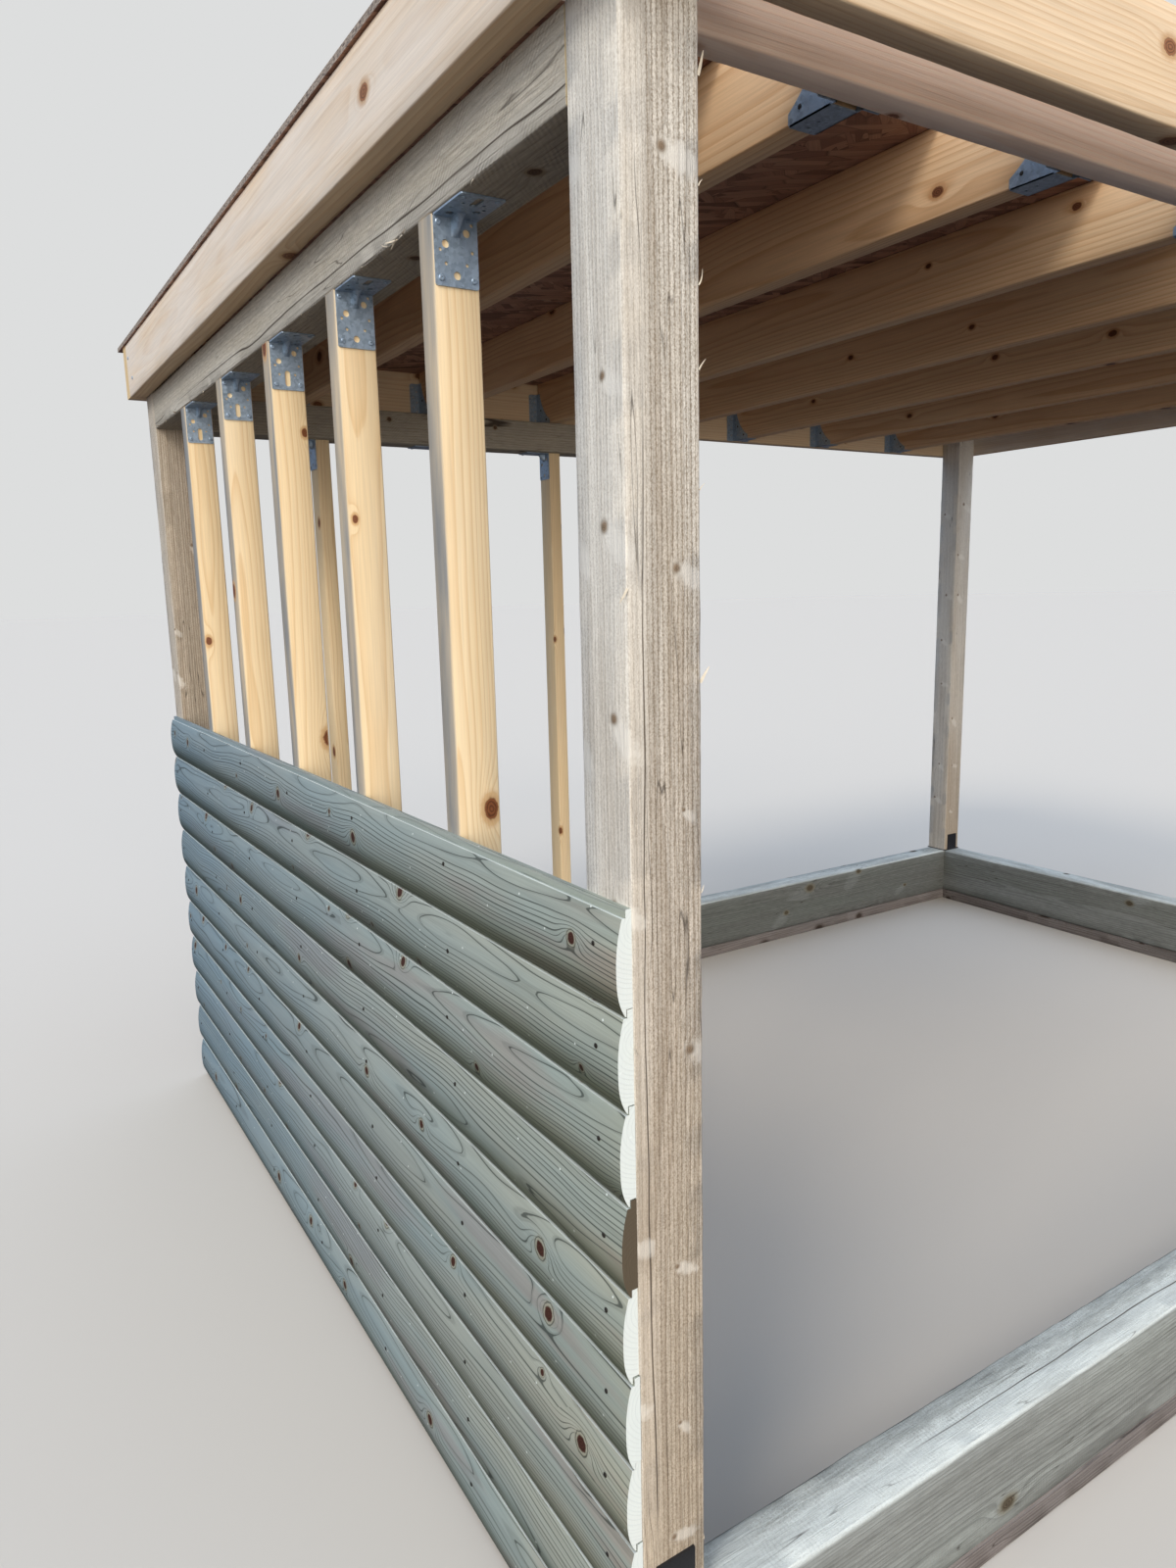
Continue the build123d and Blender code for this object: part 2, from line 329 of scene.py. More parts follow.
@dataclass(frozen=True)
class TimberFinish:
    """Softwood as it was cut: colour of its rings, knots, fibres and what the saw or plane left.

    Lengths are in metres, shares run from 0 to 1.
    """

    name: str
    early: str
    late: str
    patch: str
    fade_and_shade: str
    knot: str
    halo: str
    end: str
    ring: float = 0.006
    ring_line: float = 0.6
    late_share: float = 0.5
    drift: float = 0.012
    drift_rate: float = 1.1
    patch_share: float = 0.5
    knot_size: float = 0.016
    knot_cell: Pair = (0.32, 0.11)
    knot_share: float = 0.6
    knot_shape: float = 1.45
    fibre: float = 0.12
    fibre_width: float = 0.0022
    fibre_length: float = 0.14
    fade_hides: float = 1.0
    line: float = 0.0014
    sharp: float = 0.0
    # A board's darkened foot is painted shade, and its paler up-facing faces are a painted highlight.
    foot_shade: float = 0.0
    foot_shade_colour: str = "#787E66"
    top_highlight: float = 0.0
    fade_patch: float = 0.55
    stain: str = "#4A4236"
    vary: float = 0.0
    warm: str = ""
    warm_share: float = 0.0
    knot_rim: float = 0.0
    knot_swirl: float = 1.5
    knot_edge: float = 0.11
    glow: float = 0.75
    fan: float = 0.0
    row: float = 0.0
    row_pitch: float = 0.0066
    speck: float = 0.0
    fleck: float = 0.0
    streak: float = 0.0
    streak_width: float = 0.009
    saw: float = 0.0
    saw_pitch: float = 0.006
    saw_slant: float = 0.0
    saw_tint: float = 0.0
    crack: float = 0.0
    relief: float = 0.0006
    roughness: float = 0.75

    def material(self) -> Material:
        """Build the finish as a node material.

        Returns:
            The material, which reads the grain coordinates that a TimberMesh writes.
        """
        made, g = open_material(self.name)
        grain = read_grain(g)
        rings, knots, fans = self._rings(g, grain)
        colour = self._colour(g, grain, rings, knots, fans)
        height = self._height(g, grain, rings, knots)
        values = {"Base Color": colour, "Roughness": self.roughness, "Specular IOR Level": 0.3}
        g.surface(height, 0.9, self.relief, values)
        return made

    def _radius(self, g: Graph, grain: Grain) -> Socket:
        """Add the distance from the pith, which drifts along the timber and wobbles a little.

        Args:
            g: The graph.
            grain: The grain coordinates.

        Returns:
            The distance.
        """
        along = g.parts(grain.heart)[2]
        drift = g.noise(g.point(grain.seed, 0.0, along), self.drift_rate, 1.5)
        drift = g.vector("SUBTRACT", drift.outputs["Color"], HALF)
        drift = g.vector("MULTIPLY", drift, (4 * self.drift, 4 * self.drift, 0.0))
        wobble = g.stretched(grain.heart, WOBBLE_WAVES, 2.0)
        wobble = g.vector("SUBTRACT", wobble.outputs["Color"], HALF)
        wobble = g.vector("MULTIPLY", wobble, (WOBBLE, WOBBLE, 0.0))
        flat = g.vector("MULTIPLY", grain.heart, (1.0, 1.0, 0.0))
        moved = g.vector("ADD", g.vector("ADD", flat, drift), wobble)
        return g.length(moved)

    def _rings(self, g: Graph, grain: Grain) -> tuple[Value, Value, Value]:
        """Add the growth rings and the knots that push them aside.

        Args:
            g: The graph.
            grain: The grain coordinates.

        Returns:
            The latewood line, the distance from the knot over its radius, and the fan of pale wood
            that runs out beside each knot.
        """
        radius = self._radius(g, grain)
        # One knot may sit in each cell, a little off its middle, with a ragged outline.
        cell_u, cell_v = self.knot_cell
        across = g.point(grain.u, grain.v, 0.0)
        cells = g.vector("MULTIPLY", across, (1 / cell_u, 1 / cell_v, 0.0))
        spots = g.add(
            "ShaderNodeTexVoronoi",
            {"Vector": cells, "Scale": 1.0, "Randomness": 0.62},
            voronoi_dimensions="2D",
        )
        gap = g.vector("SUBTRACT", cells, spots.outputs["Position"])
        real = g.vector("MULTIPLY", gap, (cell_u / self.knot_shape, cell_v, 0.0))
        ragged = g.math("SUBTRACT", g.noise(across, 130.0, 2.0), 0.5)
        reach = g.length(real)
        chance = g.channels(spots.outputs["Color"])
        there = g.math("LESS_THAN", chance[1], self.knot_share)
        there = g.math("MULTIPLY", there, g.math("SUBTRACT", 1.0, grain.end))
        size = g.span(chance[0], to=(LEAST_KNOT * self.knot_size, self.knot_size))
        size = g.math("MAXIMUM", g.math("MULTIPLY", size, there), 1e-4)
        ratio = g.math("DIVIDE", reach, size)
        ratio = g.math("MULTIPLY_ADD", ragged, RAGGED_KNOT, ratio)

        # The rings bend round the knot, farther along the timber than across it, and no two years
        # are equally wide.
        wide = g.length(g.vector("MULTIPLY", real, (0.55, 1.0, 0.0)))
        pull = g.math("POWER", g.math("DIVIDE", wide, size), 2.0)
        swirl = g.math("EXPONENT", g.math("MULTIPLY", pull, -0.32))
        lift = g.math("MULTIPLY", swirl, size)
        lift = g.math("MULTIPLY_ADD", lift, self.knot_swirl, radius)
        count = g.math("DIVIDE", lift, self.ring)
        uneven = g.add("ShaderNodeTexNoise", {"W": count, "Scale": 0.37}, noise_dimensions="1D")
        phase = g.math("FRACT", g.math("MULTIPLY_ADD", uneven, 1.6, count))
        lines = g.add("ShaderNodeValToRGB", {0: phase})
        # Each year starts pale, darkens through its latewood and ends at once.
        late, dark = 1 - self.late_share, 1 - 0.45 * self.late_share
        g.ramp(lines, [(0.0, 0.3), (0.05, 0.0), (late, 0.1), (dark, 0.6), (0.94, 1.0), (1.0, 0.6)])
        if self.sharp:
            width = g.math("MULTIPLY_ADD", grain.steep, 0.5 * self.line / self.ring, 0.008)
            away = g.math("ABSOLUTE", g.math("SUBTRACT", phase, 0.85))
            away = g.math("DIVIDE", away, width)
            thin = g.span(away, 0.5, 1.3, to=(1.0, 0.0), smooth=True)
            soft = g.math("MULTIPLY", lines.outputs[0], 0.18)
            lines = g.mix(self.sharp, lines.outputs[0], g.math("MAXIMUM", thin, soft))

        # The fan lies beside the knot, turned by the knot's own draw.
        turn = g.span(chance[2], to=(-1.0, -0.2))
        spun = g.add("ShaderNodeVectorRotate", {"Vector": real, "Angle": turn}, rotation_type="Z_AXIS")
        spun = g.vector("MULTIPLY", spun, (0.45, 0.20, 0.0))
        spun = g.length(g.vector("SUBTRACT", spun, g.point(0.0, size, 0.0)))
        fan = g.math("DIVIDE", spun, size)
        fan = g.math("MULTIPLY_ADD", ragged, 1.5, fan)
        fan = g.span(fan, 0.6, 1.6, to=(1.0, 0.0), smooth=True)
        return lines.outputs[0], ratio, fan

    def _colour(self, g: Graph, grain: Grain, rings: Value, knots: Value, fans: Value) -> Node:
        """Add the colour of the wood.

        Args:
            g: The graph.
            grain: The grain coordinates.
            rings: The latewood line.
            knots: Distance from the knot's middle, over its radius.
            fans: Pale wood that runs out beside the knots.

        Returns:
            The node that gives the colour.
        """
        # Slow patches, a warm blush and the weather's grey lie under the rings; on the log-lap boards that
        # grey is painted shade towards the far end.
        slow = g.vector("MULTIPLY", grain.heart, PATCH_WAVES)
        patches = g.span(g.noise(slow, 1.0, 3.0), 0.40, 0.66, smooth=True)
        share = g.math("MULTIPLY", patches, self.patch_share)
        wood = g.mix(share, self.early, self.patch)
        if self.vary:
            wood = g.shade(wood, g.span(grain.seed, to=(1 - self.vary, 1 + self.vary)))
        if self.warm:
            blush = g.stretched(grain.heart, BLUSH_WAVES, 2.0)
            blush = g.span(blush, 0.54, 0.66, to=(0.0, self.warm_share), smooth=True)
            wood = g.mix(blush, wood, self.warm)
        grey = g.span(g.noise(slow, 2.3, 4.0), 0.25, 0.6, to=(1 - self.fade_patch, 1.0))
        grey = g.math("MULTIPLY", grey, grain.fade_and_shade, clamp=True)
        wood = g.mix(grey, wood, self.fade_and_shade)
        clear = g.math("MULTIPLY_ADD", grey, -self.fade_hides, 1.0)
        strength = g.math("MULTIPLY", rings, self.ring_line)
        wood = g.mix(g.math("MULTIPLY", strength, clear), wood, self.late)

        # Fibres and what the saw or plane left lie over them.
        place = g.point(grain.u, grain.v, grain.seed)
        fibres = g.stretched(place, (1 / self.fibre_length, 1 / self.fibre_width, 40.0), 3.0)
        wood = g.shade(wood, g.span(fibres, 0.3, 0.7, to=(1 - self.fibre, 1 + self.fibre)))
        if self.streak:
            broad = g.stretched(place, (0.9, 1 / self.streak_width, 60.0), 1.0)
            tones = (1 - self.streak, 1 + 0.5 * self.streak)
            wood = g.shade(wood, g.span(broad, 0.36, 0.64, to=tones))
        if self.speck:
            wood = self._fur(g, grain, wood, place, slow, patches, grey, fans)
        if self.fan:
            wood = g.mix(g.math("MULTIPLY", fans, self.fan), wood, self.fade_and_shade)
        if self.saw_tint:
            wave = self._saw_wave(g, grain)
            marks = (1 - self.saw_tint, 1 + 0.6 * self.saw_tint)
            wood = g.shade(wood, g.span(wave, -1.0, 1.0, to=marks))
        wood = self._knot_colour(g, wood, knots)
        if self.fleck:
            wood = self._flecks(g, wood, place)
        if self.crack:
            split = g.math("SUBTRACT", g.stretched(place, CRACK_WAVES, 1.0), 0.5)
            split = g.span(g.math("ABSOLUTE", split), 0.0, 0.008, to=(self.crack, 0.0))
            where = g.span(g.noise(slow, 1.7), 0.52, 0.58)
            wood = g.mix(g.math("MULTIPLY", split, where), wood, OPEN_CRACK)
        # Painted highlight: faces that look up are mixed towards the pale end colour, as if they catch the
        # light.
        if self.top_highlight:
            top_highlighting = g.span(grain.top, 0.5, 0.95, to=(0.0, self.top_highlight), smooth=True)
            wood = g.mix(top_highlighting, wood, self.end)
        # Painted shade: each board darkens towards its foot, just above the lap.
        if self.foot_shade:
            foot_shading = g.span(grain.foot, to=(0.0, self.foot_shade), smooth=True)
            wood = g.mix(foot_shading, wood, self.foot_shade_colour, "MULTIPLY")
        # The sawn ends show a little of the wood's own pattern, and a stain where there is one.
        cut = g.mix(0.18, self.end, wood)
        stain = g.math("ADD", grain.end, -1.0, clamp=True)
        cut = g.mix(stain, cut, self.stain)
        return g.mix(g.add("ShaderNodeClamp", {0: grain.end}), wood, cut)

    def _fur(
        self,
        g: Graph,
        grain: Grain,
        wood: Value,
        place: Value,
        slow: Value,
        patches: Value,
        grey: Value,
        fans: Value,
    ) -> Node:
        """Add what a rough saw leaves: furry rows, the seams between them and a paler, calmer half.

        Args:
            g: The graph.
            grain: The grain coordinates.
            wood: The colour so far.
            place: Place along and round the timber, with its number.
            slow: The slow noise's place.
            patches: The slow patches.
            grey: How grey the wood is.
            fans: Pale wood beside the knots, which stays bare.

        Returns:
            The node that gives the colour.
        """
        specks = g.span(g.stretched(place, FUR_WAVES, 3.0), 0.44, 0.60, smooth=True)
        waver = g.math("MULTIPLY", g.stretched(place, WAVER_WAVES, 2.0), 5.0)
        rows = g.math("SINE", g.math("MULTIPLY_ADD", grain.v, 2 * math.pi / self.row_pitch, waver))
        seam = g.span(rows, 0.70, 0.97, to=(0.0, self.row))
        rows = g.span(rows, -0.7, 0.5, to=(0.55, 1.0), smooth=True)
        border = g.math("MULTIPLY_ADD", patches, 0.012, g.parts(grain.heart)[0])
        zones = g.span(border, *FUR_BORDER, smooth=True)
        calm = g.math("MULTIPLY", g.span(zones, to=(0.45, 0.0)), grey)
        wood = g.mix(calm, wood, self.fade_and_shade)
        gape = g.math("ABSOLUTE", g.math("SUBTRACT", border, CRACK_PLACE))
        gape = g.span(gape, *CRACK_EDGE, to=(0.9, 0.0))
        reach = g.span(g.noise(slow, 0.8), 0.42, 0.48)
        wood = g.mix(g.math("MULTIPLY", gape, reach), wood, DEEP_CRACK)
        zones = g.span(zones, to=(0.45, 1.0))
        zones = g.math("MULTIPLY", zones, g.math("SUBTRACT", 1.0, fans))
        wood = g.mix(g.math("MULTIPLY", seam, zones), wood, self.halo)
        fuzz = g.math("MULTIPLY", specks, g.math("MULTIPLY", rows, zones))
        return g.mix(g.math("MULTIPLY", fuzz, self.speck), wood, self.halo)

    def _knot_colour(self, g: Graph, wood: Value, knots: Value) -> Node:
        """Add the knots, each with its glow, its rim and its own years.

        Args:
            g: The graph.
            wood: The colour so far.
            knots: Distance from the knot's middle, over its radius.

        Returns:
            The node that gives the colour.
        """
        glow = g.span(knots, 1.0, 2.1, to=(self.glow, 0.0), smooth=True)
        wood = g.mix(glow, wood, self.halo)
        if self.knot_rim:
            rim = g.math("ABSOLUTE", g.math("SUBTRACT", knots, 1.45))
            wood = g.mix(g.span(rim, 0.04, 0.16, to=(self.knot_rim, 0.0)), wood, self.late)
        inside = g.span(knots, 1 - self.knot_edge, 1 + self.knot_edge, to=(1.0, 0.0), smooth=True)
        years = g.math("SINE", g.math("MULTIPLY", knots, KNOT_YEARS))
        core = g.shade(self.knot, g.span(years, -1.0, 1.0, to=(0.6, 1.3)))
        return g.mix(inside, wood, core)

    def _flecks(self, g: Graph, wood: Value, place: Value) -> Node:
        """Add the small pale flecks of chipped wood.

        Args:
            g: The graph.
            wood: The colour so far.
            place: Place along and round the timber, with its number.

        Returns:
            The node that gives the colour.
        """
        spread = g.vector("MULTIPLY", place, FLECKS)
        dots = g.cells(spread)
        off = g.vector("SUBTRACT", spread, dots.outputs["Position"])
        off = g.length(g.vector("MULTIPLY", off, (1 / FLECKS[0], 1 / FLECKS[1], 0.0)))
        off = g.span(off, 0.5 * self.fleck, self.fleck, to=(0.85, 0.0))
        few = g.math("LESS_THAN", g.channels(dots.outputs["Color"])[2], 0.45)
        return g.mix(g.math("MULTIPLY", off, few), wood, self.end)

    def _saw_wave(self, g: Graph, grain: Grain) -> Socket:
        """Add the saw's marks: bent stripes across the grain, some deep and some hardly there.

        Args:
            g: The graph.
            grain: The grain coordinates.

        Returns:
            A wave from -1 to 1.
        """
        across = g.point(grain.u, grain.v, 0.0)
        slanted = g.math("MULTIPLY_ADD", grain.v, self.saw_slant, grain.u)
        bent = g.math("MULTIPLY_ADD", g.noise(across, 9.0, 2.0), 0.03, slanted)
        wave = g.math("SINE", g.math("MULTIPLY", bent, 2 * math.pi / self.saw_pitch))
        depth = g.span(g.noise(across, 26.0, 3.0), 0.42, 0.62)
        return g.math("MULTIPLY", wave, depth).outputs[0]

    def _height(self, g: Graph, grain: Grain, rings: Value, knots: Value) -> Socket:
        """Add the relief: raised rings, fibres and saw marks.

        Args:
            g: The graph.
            grain: The grain coordinates.
            rings: The latewood line.
            knots: Distance from the knot's middle, over its radius.

        Returns:
            The height.
        """
        across = g.point(grain.u, grain.v, 0.0)
        height = g.math("MULTIPLY_ADD", rings, 0.35, g.stretched(across, RIDGE_WAVES, 3.0))
        if self.saw:
            height = g.math("MULTIPLY_ADD", self._saw_wave(g, grain), self.saw, height)
        if self.speck:
            fur = g.stretched(across, FUR_WAVES, 3.0)
            height = g.math("MULTIPLY_ADD", fur, -1.2 * self.speck, height)
        dome = g.span(knots, 0.2, 1.1, to=(0.5, 0.0), smooth=True)
        return g.math("ADD", height, dome).outputs[0]


@dataclass(frozen=True)
class StrandFinish:
    """Pressed strand board: flat wood strands a hand long, laid in crossing layers under resin."""

    name: str
    colours: tuple[str, str, str, str]
    low: float
    high: float
    strand: Pair = (0.095, 0.020)
    turns: tuple[float, ...] = (0.2, 1.35, -0.75, 0.62)
    shown: float = 0.42
    edge: tuple[str, str] = ("#5C5048", "#B3A594")
    lit_top_colour: str = "#C4AE86"
    lit_top_share: float = 0.5

    def material(self) -> Material:
        """Build the finish as a node material on Object coordinates.

        Returns:
            The material.
        """
        made, g = open_material(self.name)
        place = g.add("ShaderNodeTexCoord").outputs["Object"]
        colour = g.mix(0.5, self.colours[3], self.colours[2])
        height = None
        for layer, turn in enumerate(self.turns):
            colour, height = self._layer(g, place, (layer, turn), colour, height)
        # The strand colours carry painted shade for the underside; the top face is mixed towards a lighter
        # lit colour, so the two faces are lit and shaded copies of one board.
        level = g.math("SUBTRACT", g.parts(place)[2], (self.low + self.high) / 2)
        upper = g.math("MULTIPLY", g.math("GREATER_THAN", level, 0.0), self.lit_top_share)
        colour = g.mix(upper, colour, self.lit_top_colour)
        sawn = g.math("LESS_THAN", g.math("ABSOLUTE", level), (self.high - self.low) / 2 - 1e-4)
        crumbs = g.stretched(place, (120.0, 120.0, 500.0), 3.0)
        rough = g.add("ShaderNodeValToRGB", {0: crumbs})
        g.ramp(rough, [(0.36, self.edge[0]), (0.64, self.edge[1])])
        colour = g.mix(sawn, colour, rough)
        values = {"Base Color": colour, "Roughness": 0.62, "Specular IOR Level": 0.35}
        g.surface(height, 0.7, 0.0005, values)
        return made

    def _layer(
        self,
        g: Graph,
        place: Socket,
        lay: tuple[int, float],
        colour: Value,
        height: Value | None,
    ) -> tuple[Value, Value]:
        """Add one layer of strands over those before it.

        Args:
            g: The graph.
            place: Object coordinates.
            lay: The layer's number, and its turn in radians.
            colour: The colour so far.
            height: The height so far, or none.

        Returns:
            The colour and the height with this layer on them.
        """
        layer, turn = lay
        values = {"Vector": place, "Rotation": (0.0, 0.0, turn), "Location": (layer, 0.0, 0.0)}
        laid = g.add("ShaderNodeMapping", values)
        bend = g.vector("MULTIPLY", g.noise(laid, 6.0).outputs["Color"], (0.03, 0.03, 0.0))
        bent = g.vector("ADD", laid, bend)
        cells = g.vector("MULTIPLY", bent, (1 / self.strand[0], 1 / self.strand[1], 0.0))
        chips = g.cells(cells)
        edge = g.cells(cells, feature="DISTANCE_TO_EDGE")
        pick = g.channels(chips.outputs["Color"])
        shade = g.add("ShaderNodeValToRGB", {0: pick[0]})
        g.ramp(shade, list(zip((0.0, 0.35, 0.7, 1.0), self.colours)))
        grain = g.stretched(bent, (14.0, 420.0, 0.0), 2.0)
        chip = g.shade(shade, g.span(grain, 0.3, 0.7, to=(0.82, 1.14)))
        chip = g.shade(chip, g.span(edge, 0.0, 0.06, to=(0.55, 1.0)))
        shown = g.math("GREATER_THAN", pick[1], self.shown)
        colour = g.mix(shown, colour, chip)
        step = g.math("MULTIPLY", shown, pick[2])
        return colour, step if height is None else g.math("ADD", height, step)


@dataclass(frozen=True)
class PlainFinish:
    """A blend of two colours by small crystals: zinc's spangle, powder coat, dull wire, torn wood."""

    name: str
    colour: str
    dark: str
    metallic: float
    roughness: Pair
    crystal: float

    def material(self) -> Material:
        """Build the finish as a node material on Object coordinates.

        Returns:
            The material.
        """
        made, g = open_material(self.name)
        place = g.add("ShaderNodeTexCoord").outputs["Object"]
        bend = g.vector("MULTIPLY", g.noise(place, 240.0, 2.0).outputs["Color"], (0.003, 0.003, 0.003))
        bent = g.vector("ADD", place, bend)
        crystals = g.add("ShaderNodeTexVoronoi", {"Vector": bent, "Scale": 1 / self.crystal})
        pick = g.channels(crystals.outputs["Color"])
        dull = g.noise(place, 28.0, 4.0)
        colour = g.mix(g.math("MULTIPLY", pick[0], dull), self.colour, self.dark)
        gloss = g.span(pick[1], to=self.roughness)
        values = {"Base Color": colour, "Metallic": self.metallic, "Roughness": gloss}
        g.surface(dull, 0.25, 0.0002, values)
        return made


class Finishes:
    """Every finish of the store, by the record's material slot."""

    def __init__(self) -> None:
        """Build the materials once."""
        # Rough sawn and pressure treated: furry fibres, pale where the weather has been at it.
        post = TimberFinish(
            name="rough_sawn_post", early="#B5A690", late="#85745F", patch="#AA9680", fade_and_shade="#E6E3D8",
            knot="#86735D", halo="#76664F", glow=0.3, end="#C4B590", ring=0.0085, ring_line=0.5,
            patch_share=0.5, knot_size=0.0062, knot_cell=(0.20, 0.09), knot_share=0.6, knot_shape=1.0,
            knot_edge=0.6, fan=0.35, fibre=0.15, fibre_width=0.0028, fibre_length=0.022, fade_hides=0.6,
            speck=0.6, row=0.55, streak=0.08, saw=0.03, saw_pitch=0.005, crack=0.75, relief=0.0010,
            roughness=0.9,
        )
        # The beams are the same stock, cut on a band saw that left slanting marks.
        beam = TimberFinish(
            name="band_sawn_beam", early="#B6AF9E", late="#857C68", patch="#AAA392", fade_and_shade="#CCCAC1",
            knot="#5F4B38", halo="#8E7E66", end="#C4B590", ring=0.0085, ring_line=0.45, patch_share=0.5,
            knot_size=0.011, knot_cell=(0.40, 0.10), knot_share=0.4, knot_shape=1.1, fibre=0.16,
            fibre_width=0.003, fibre_length=0.03, speck=0.25, streak=0.06, saw=0.5, saw_pitch=0.010,
            saw_slant=1.1, saw_tint=0.12, crack=0.7, relief=0.0012, roughness=0.9,
        )
        # The same stock, still grey-green from the treatment.
        sleeper = TimberFinish(
            name="green_treated_sleeper", early="#6B6D68", late="#4F504D", patch="#6E756D", fade_and_shade="#D6DBD4",
            knot="#544B3B", halo="#76705C", end="#A8A590", ring=0.008, ring_line=0.6, patch_share=0.5,
            knot_size=0.016, knot_cell=(0.42, 0.12), knot_share=0.5, knot_edge=0.3, fan=0.08, fibre=0.17,
            fibre_width=0.004, fibre_length=0.03, speck=0.35, streak=0.10, saw=0.12, saw_pitch=0.007,
            crack=0.75, relief=0.0012, roughness=0.92,
        )
        # Thin old boards that lie on wet ground.
        board = TimberFinish(
            name="damp_base_board", early="#827A74", late="#5A524C", patch="#7A7774", fade_and_shade="#8A8886",
            knot="#40352C", halo="#544A42", end="#6E6862", ring=0.006, ring_line=0.7, fibre=0.25,
            fibre_width=0.004, speck=0.5, crack=0.9, relief=0.0012, roughness=0.9,
        )
        # Planed spruce, a season old: honey colour, few knots, grey on the side that looks outward.
        stud = TimberFinish(
            name="planed_spruce_stud", early="#F4DBAE", late="#DBB47C", patch="#F5E2BE", fade_and_shade="#8D8E8B",
            knot="#7C4A2A", halo="#C4935C", end="#D9B880", ring=0.0060, ring_line=0.55, patch_share=0.5,
            knot_size=0.014, knot_cell=(0.40, 0.09), knot_share=0.55, knot_rim=0.5, fibre=0.06,
            fibre_width=0.0035, relief=0.00022, roughness=0.55,
        )
        # The boards round the roof: planed spruce, pale and a little pink.
        roof = TimberFinish(
            name="planed_spruce_roof", early="#E3C9A4", late="#C9A274", patch="#E6D2B4", fade_and_shade="#E6DED2",
            knot="#8A5C3A", halo="#BC9263", end="#DCC08C", ring=0.0085, ring_line=0.5, patch_share=0.45,
            knot_size=0.013, knot_cell=(0.42, 0.12), knot_share=0.42, fibre=0.07, fibre_width=0.004,
            saw=0.02, saw_pitch=0.004, relief=0.0003, roughness=0.6,
        )
        # The joists are fresher and redder than the boards round them.
        joist = TimberFinish(
            name="planed_spruce_joist", early="#E6C298", late="#C59464", patch="#EACEA6", fade_and_shade="#E6DED2",
            knot="#6A4028", halo="#B07C4E", end="#DCC08C", ring=0.0085, ring_line=0.55, patch_share=0.5,
            knot_size=0.013, knot_cell=(0.42, 0.12), knot_share=0.45, knot_rim=0.4, fibre=0.08,
            fibre_width=0.004, saw=0.02, saw_pitch=0.004, relief=0.0003, roughness=0.6,
        )
        # The header is a pinker softwood with few knots, its colour lightened past the wood's own as
        # painted light on a face that the lamps leave in shade.
        pink = TimberFinish(
            name="planed_larch_header", early="#FFEAD6", late="#F2D0B0", patch="#FFF0E0", fade_and_shade="#F2DECA",
            knot="#8C5A3C", halo="#BC8A66", end="#DDB592", ring=0.009, ring_line=0.4, patch_share=0.4,
            knot_size=0.010, knot_cell=(0.5, 0.12), knot_share=0.4, fibre=0.05, fibre_width=0.004,
            relief=0.0003, roughness=0.6,
        )
        # Machined log-lap: treated green, so the latewood stands out as thin dark lines.
        # Its bluer grey towards the far end is painted shade, as is the darkened foot of each board; its
        # paler up-facing faces are a painted highlight.
        loglap = TimberFinish(
            name="green_treated_loglap", early="#ABAB97", late="#262D28", patch="#8E9E98", fade_and_shade="#728A98",
            knot="#43291F", halo="#9A9782", end="#E9F0EA", stain="#5A5040", warm="#A08A7B", warm_share=0.45,
            ring=0.0056, ring_line=0.8, late_share=0.34, line=0.0014, sharp=0.88, drift=0.014,
            drift_rate=1.8, vary=0.10, patch_share=0.6, fade_hides=0.0, fade_patch=0.15, foot_shade=0.95,
            top_highlight=0.7, knot_size=0.011, knot_cell=(0.24, 0.10), knot_share=0.55, knot_shape=1.0,
            knot_rim=0.7, knot_swirl=2.2, fibre=0.08, fibre_width=0.0025, fleck=0.0020, streak=0.06,
            streak_width=0.02, relief=0.00035, roughness=0.5,
        )
        # Strand board, told by its height where it is sawn and which face is the top. Its strand colours
        # carry painted shade, the underside's look in the shade under the roof, and the top face is mixed
        # towards a lighter, yellower lit colour.
        low, high = node_box("roof_deck_front")
        strands = ("#9C7260", "#C2987E", "#AC806A", "#7A5648")
        strand = StrandFinish("resin_strand_board", strands, low.z, high.z)
        # Hot-dip galvanised sheet with its spangle, its grey tinted blue as a painted reflection of the
        # sky.
        zinc = PlainFinish("galvanised_sheet", "#AABDCE", "#70808E", 0.55, (0.28, 0.5), 0.005)
        # Sheet with a fine black powder coat.
        black = PlainFinish("black_powder_coat", "#1B1B1D", "#121214", 0.0, (0.42, 0.55), 0.0009)
        finishes = {
            "treated_post": post, "treated_sleeper": sleeper, "weathered_board": board,
            "planed_stud": stud, "roof_timber": roof, "pink_timber": pink, "loglap": loglap,
            "strand_board": strand, "galvanised_steel": zinc, "black_steel": black,
        }
        self.slots = {slot: finish.material() for slot, finish in finishes.items()}
        # Dull steel wire nails. Like the splinters, they have no slot of their own in the record.
        nail = PlainFinish("dull_wire_nail", "#3A3631", "#221F1C", 0.55, (0.5, 0.7), 0.002)
        # Splinters of torn wood, paler than the post they stand on.
        splinter = PlainFinish("raw_splinter_wood", "#D9CFBA", "#BBAF98", 0.0, (0.8, 0.9), 0.004)
        self.nail = nail.material()
        self.splinter = splinter.material()
        self.beam = beam.material()
        self.joist = joist.material()


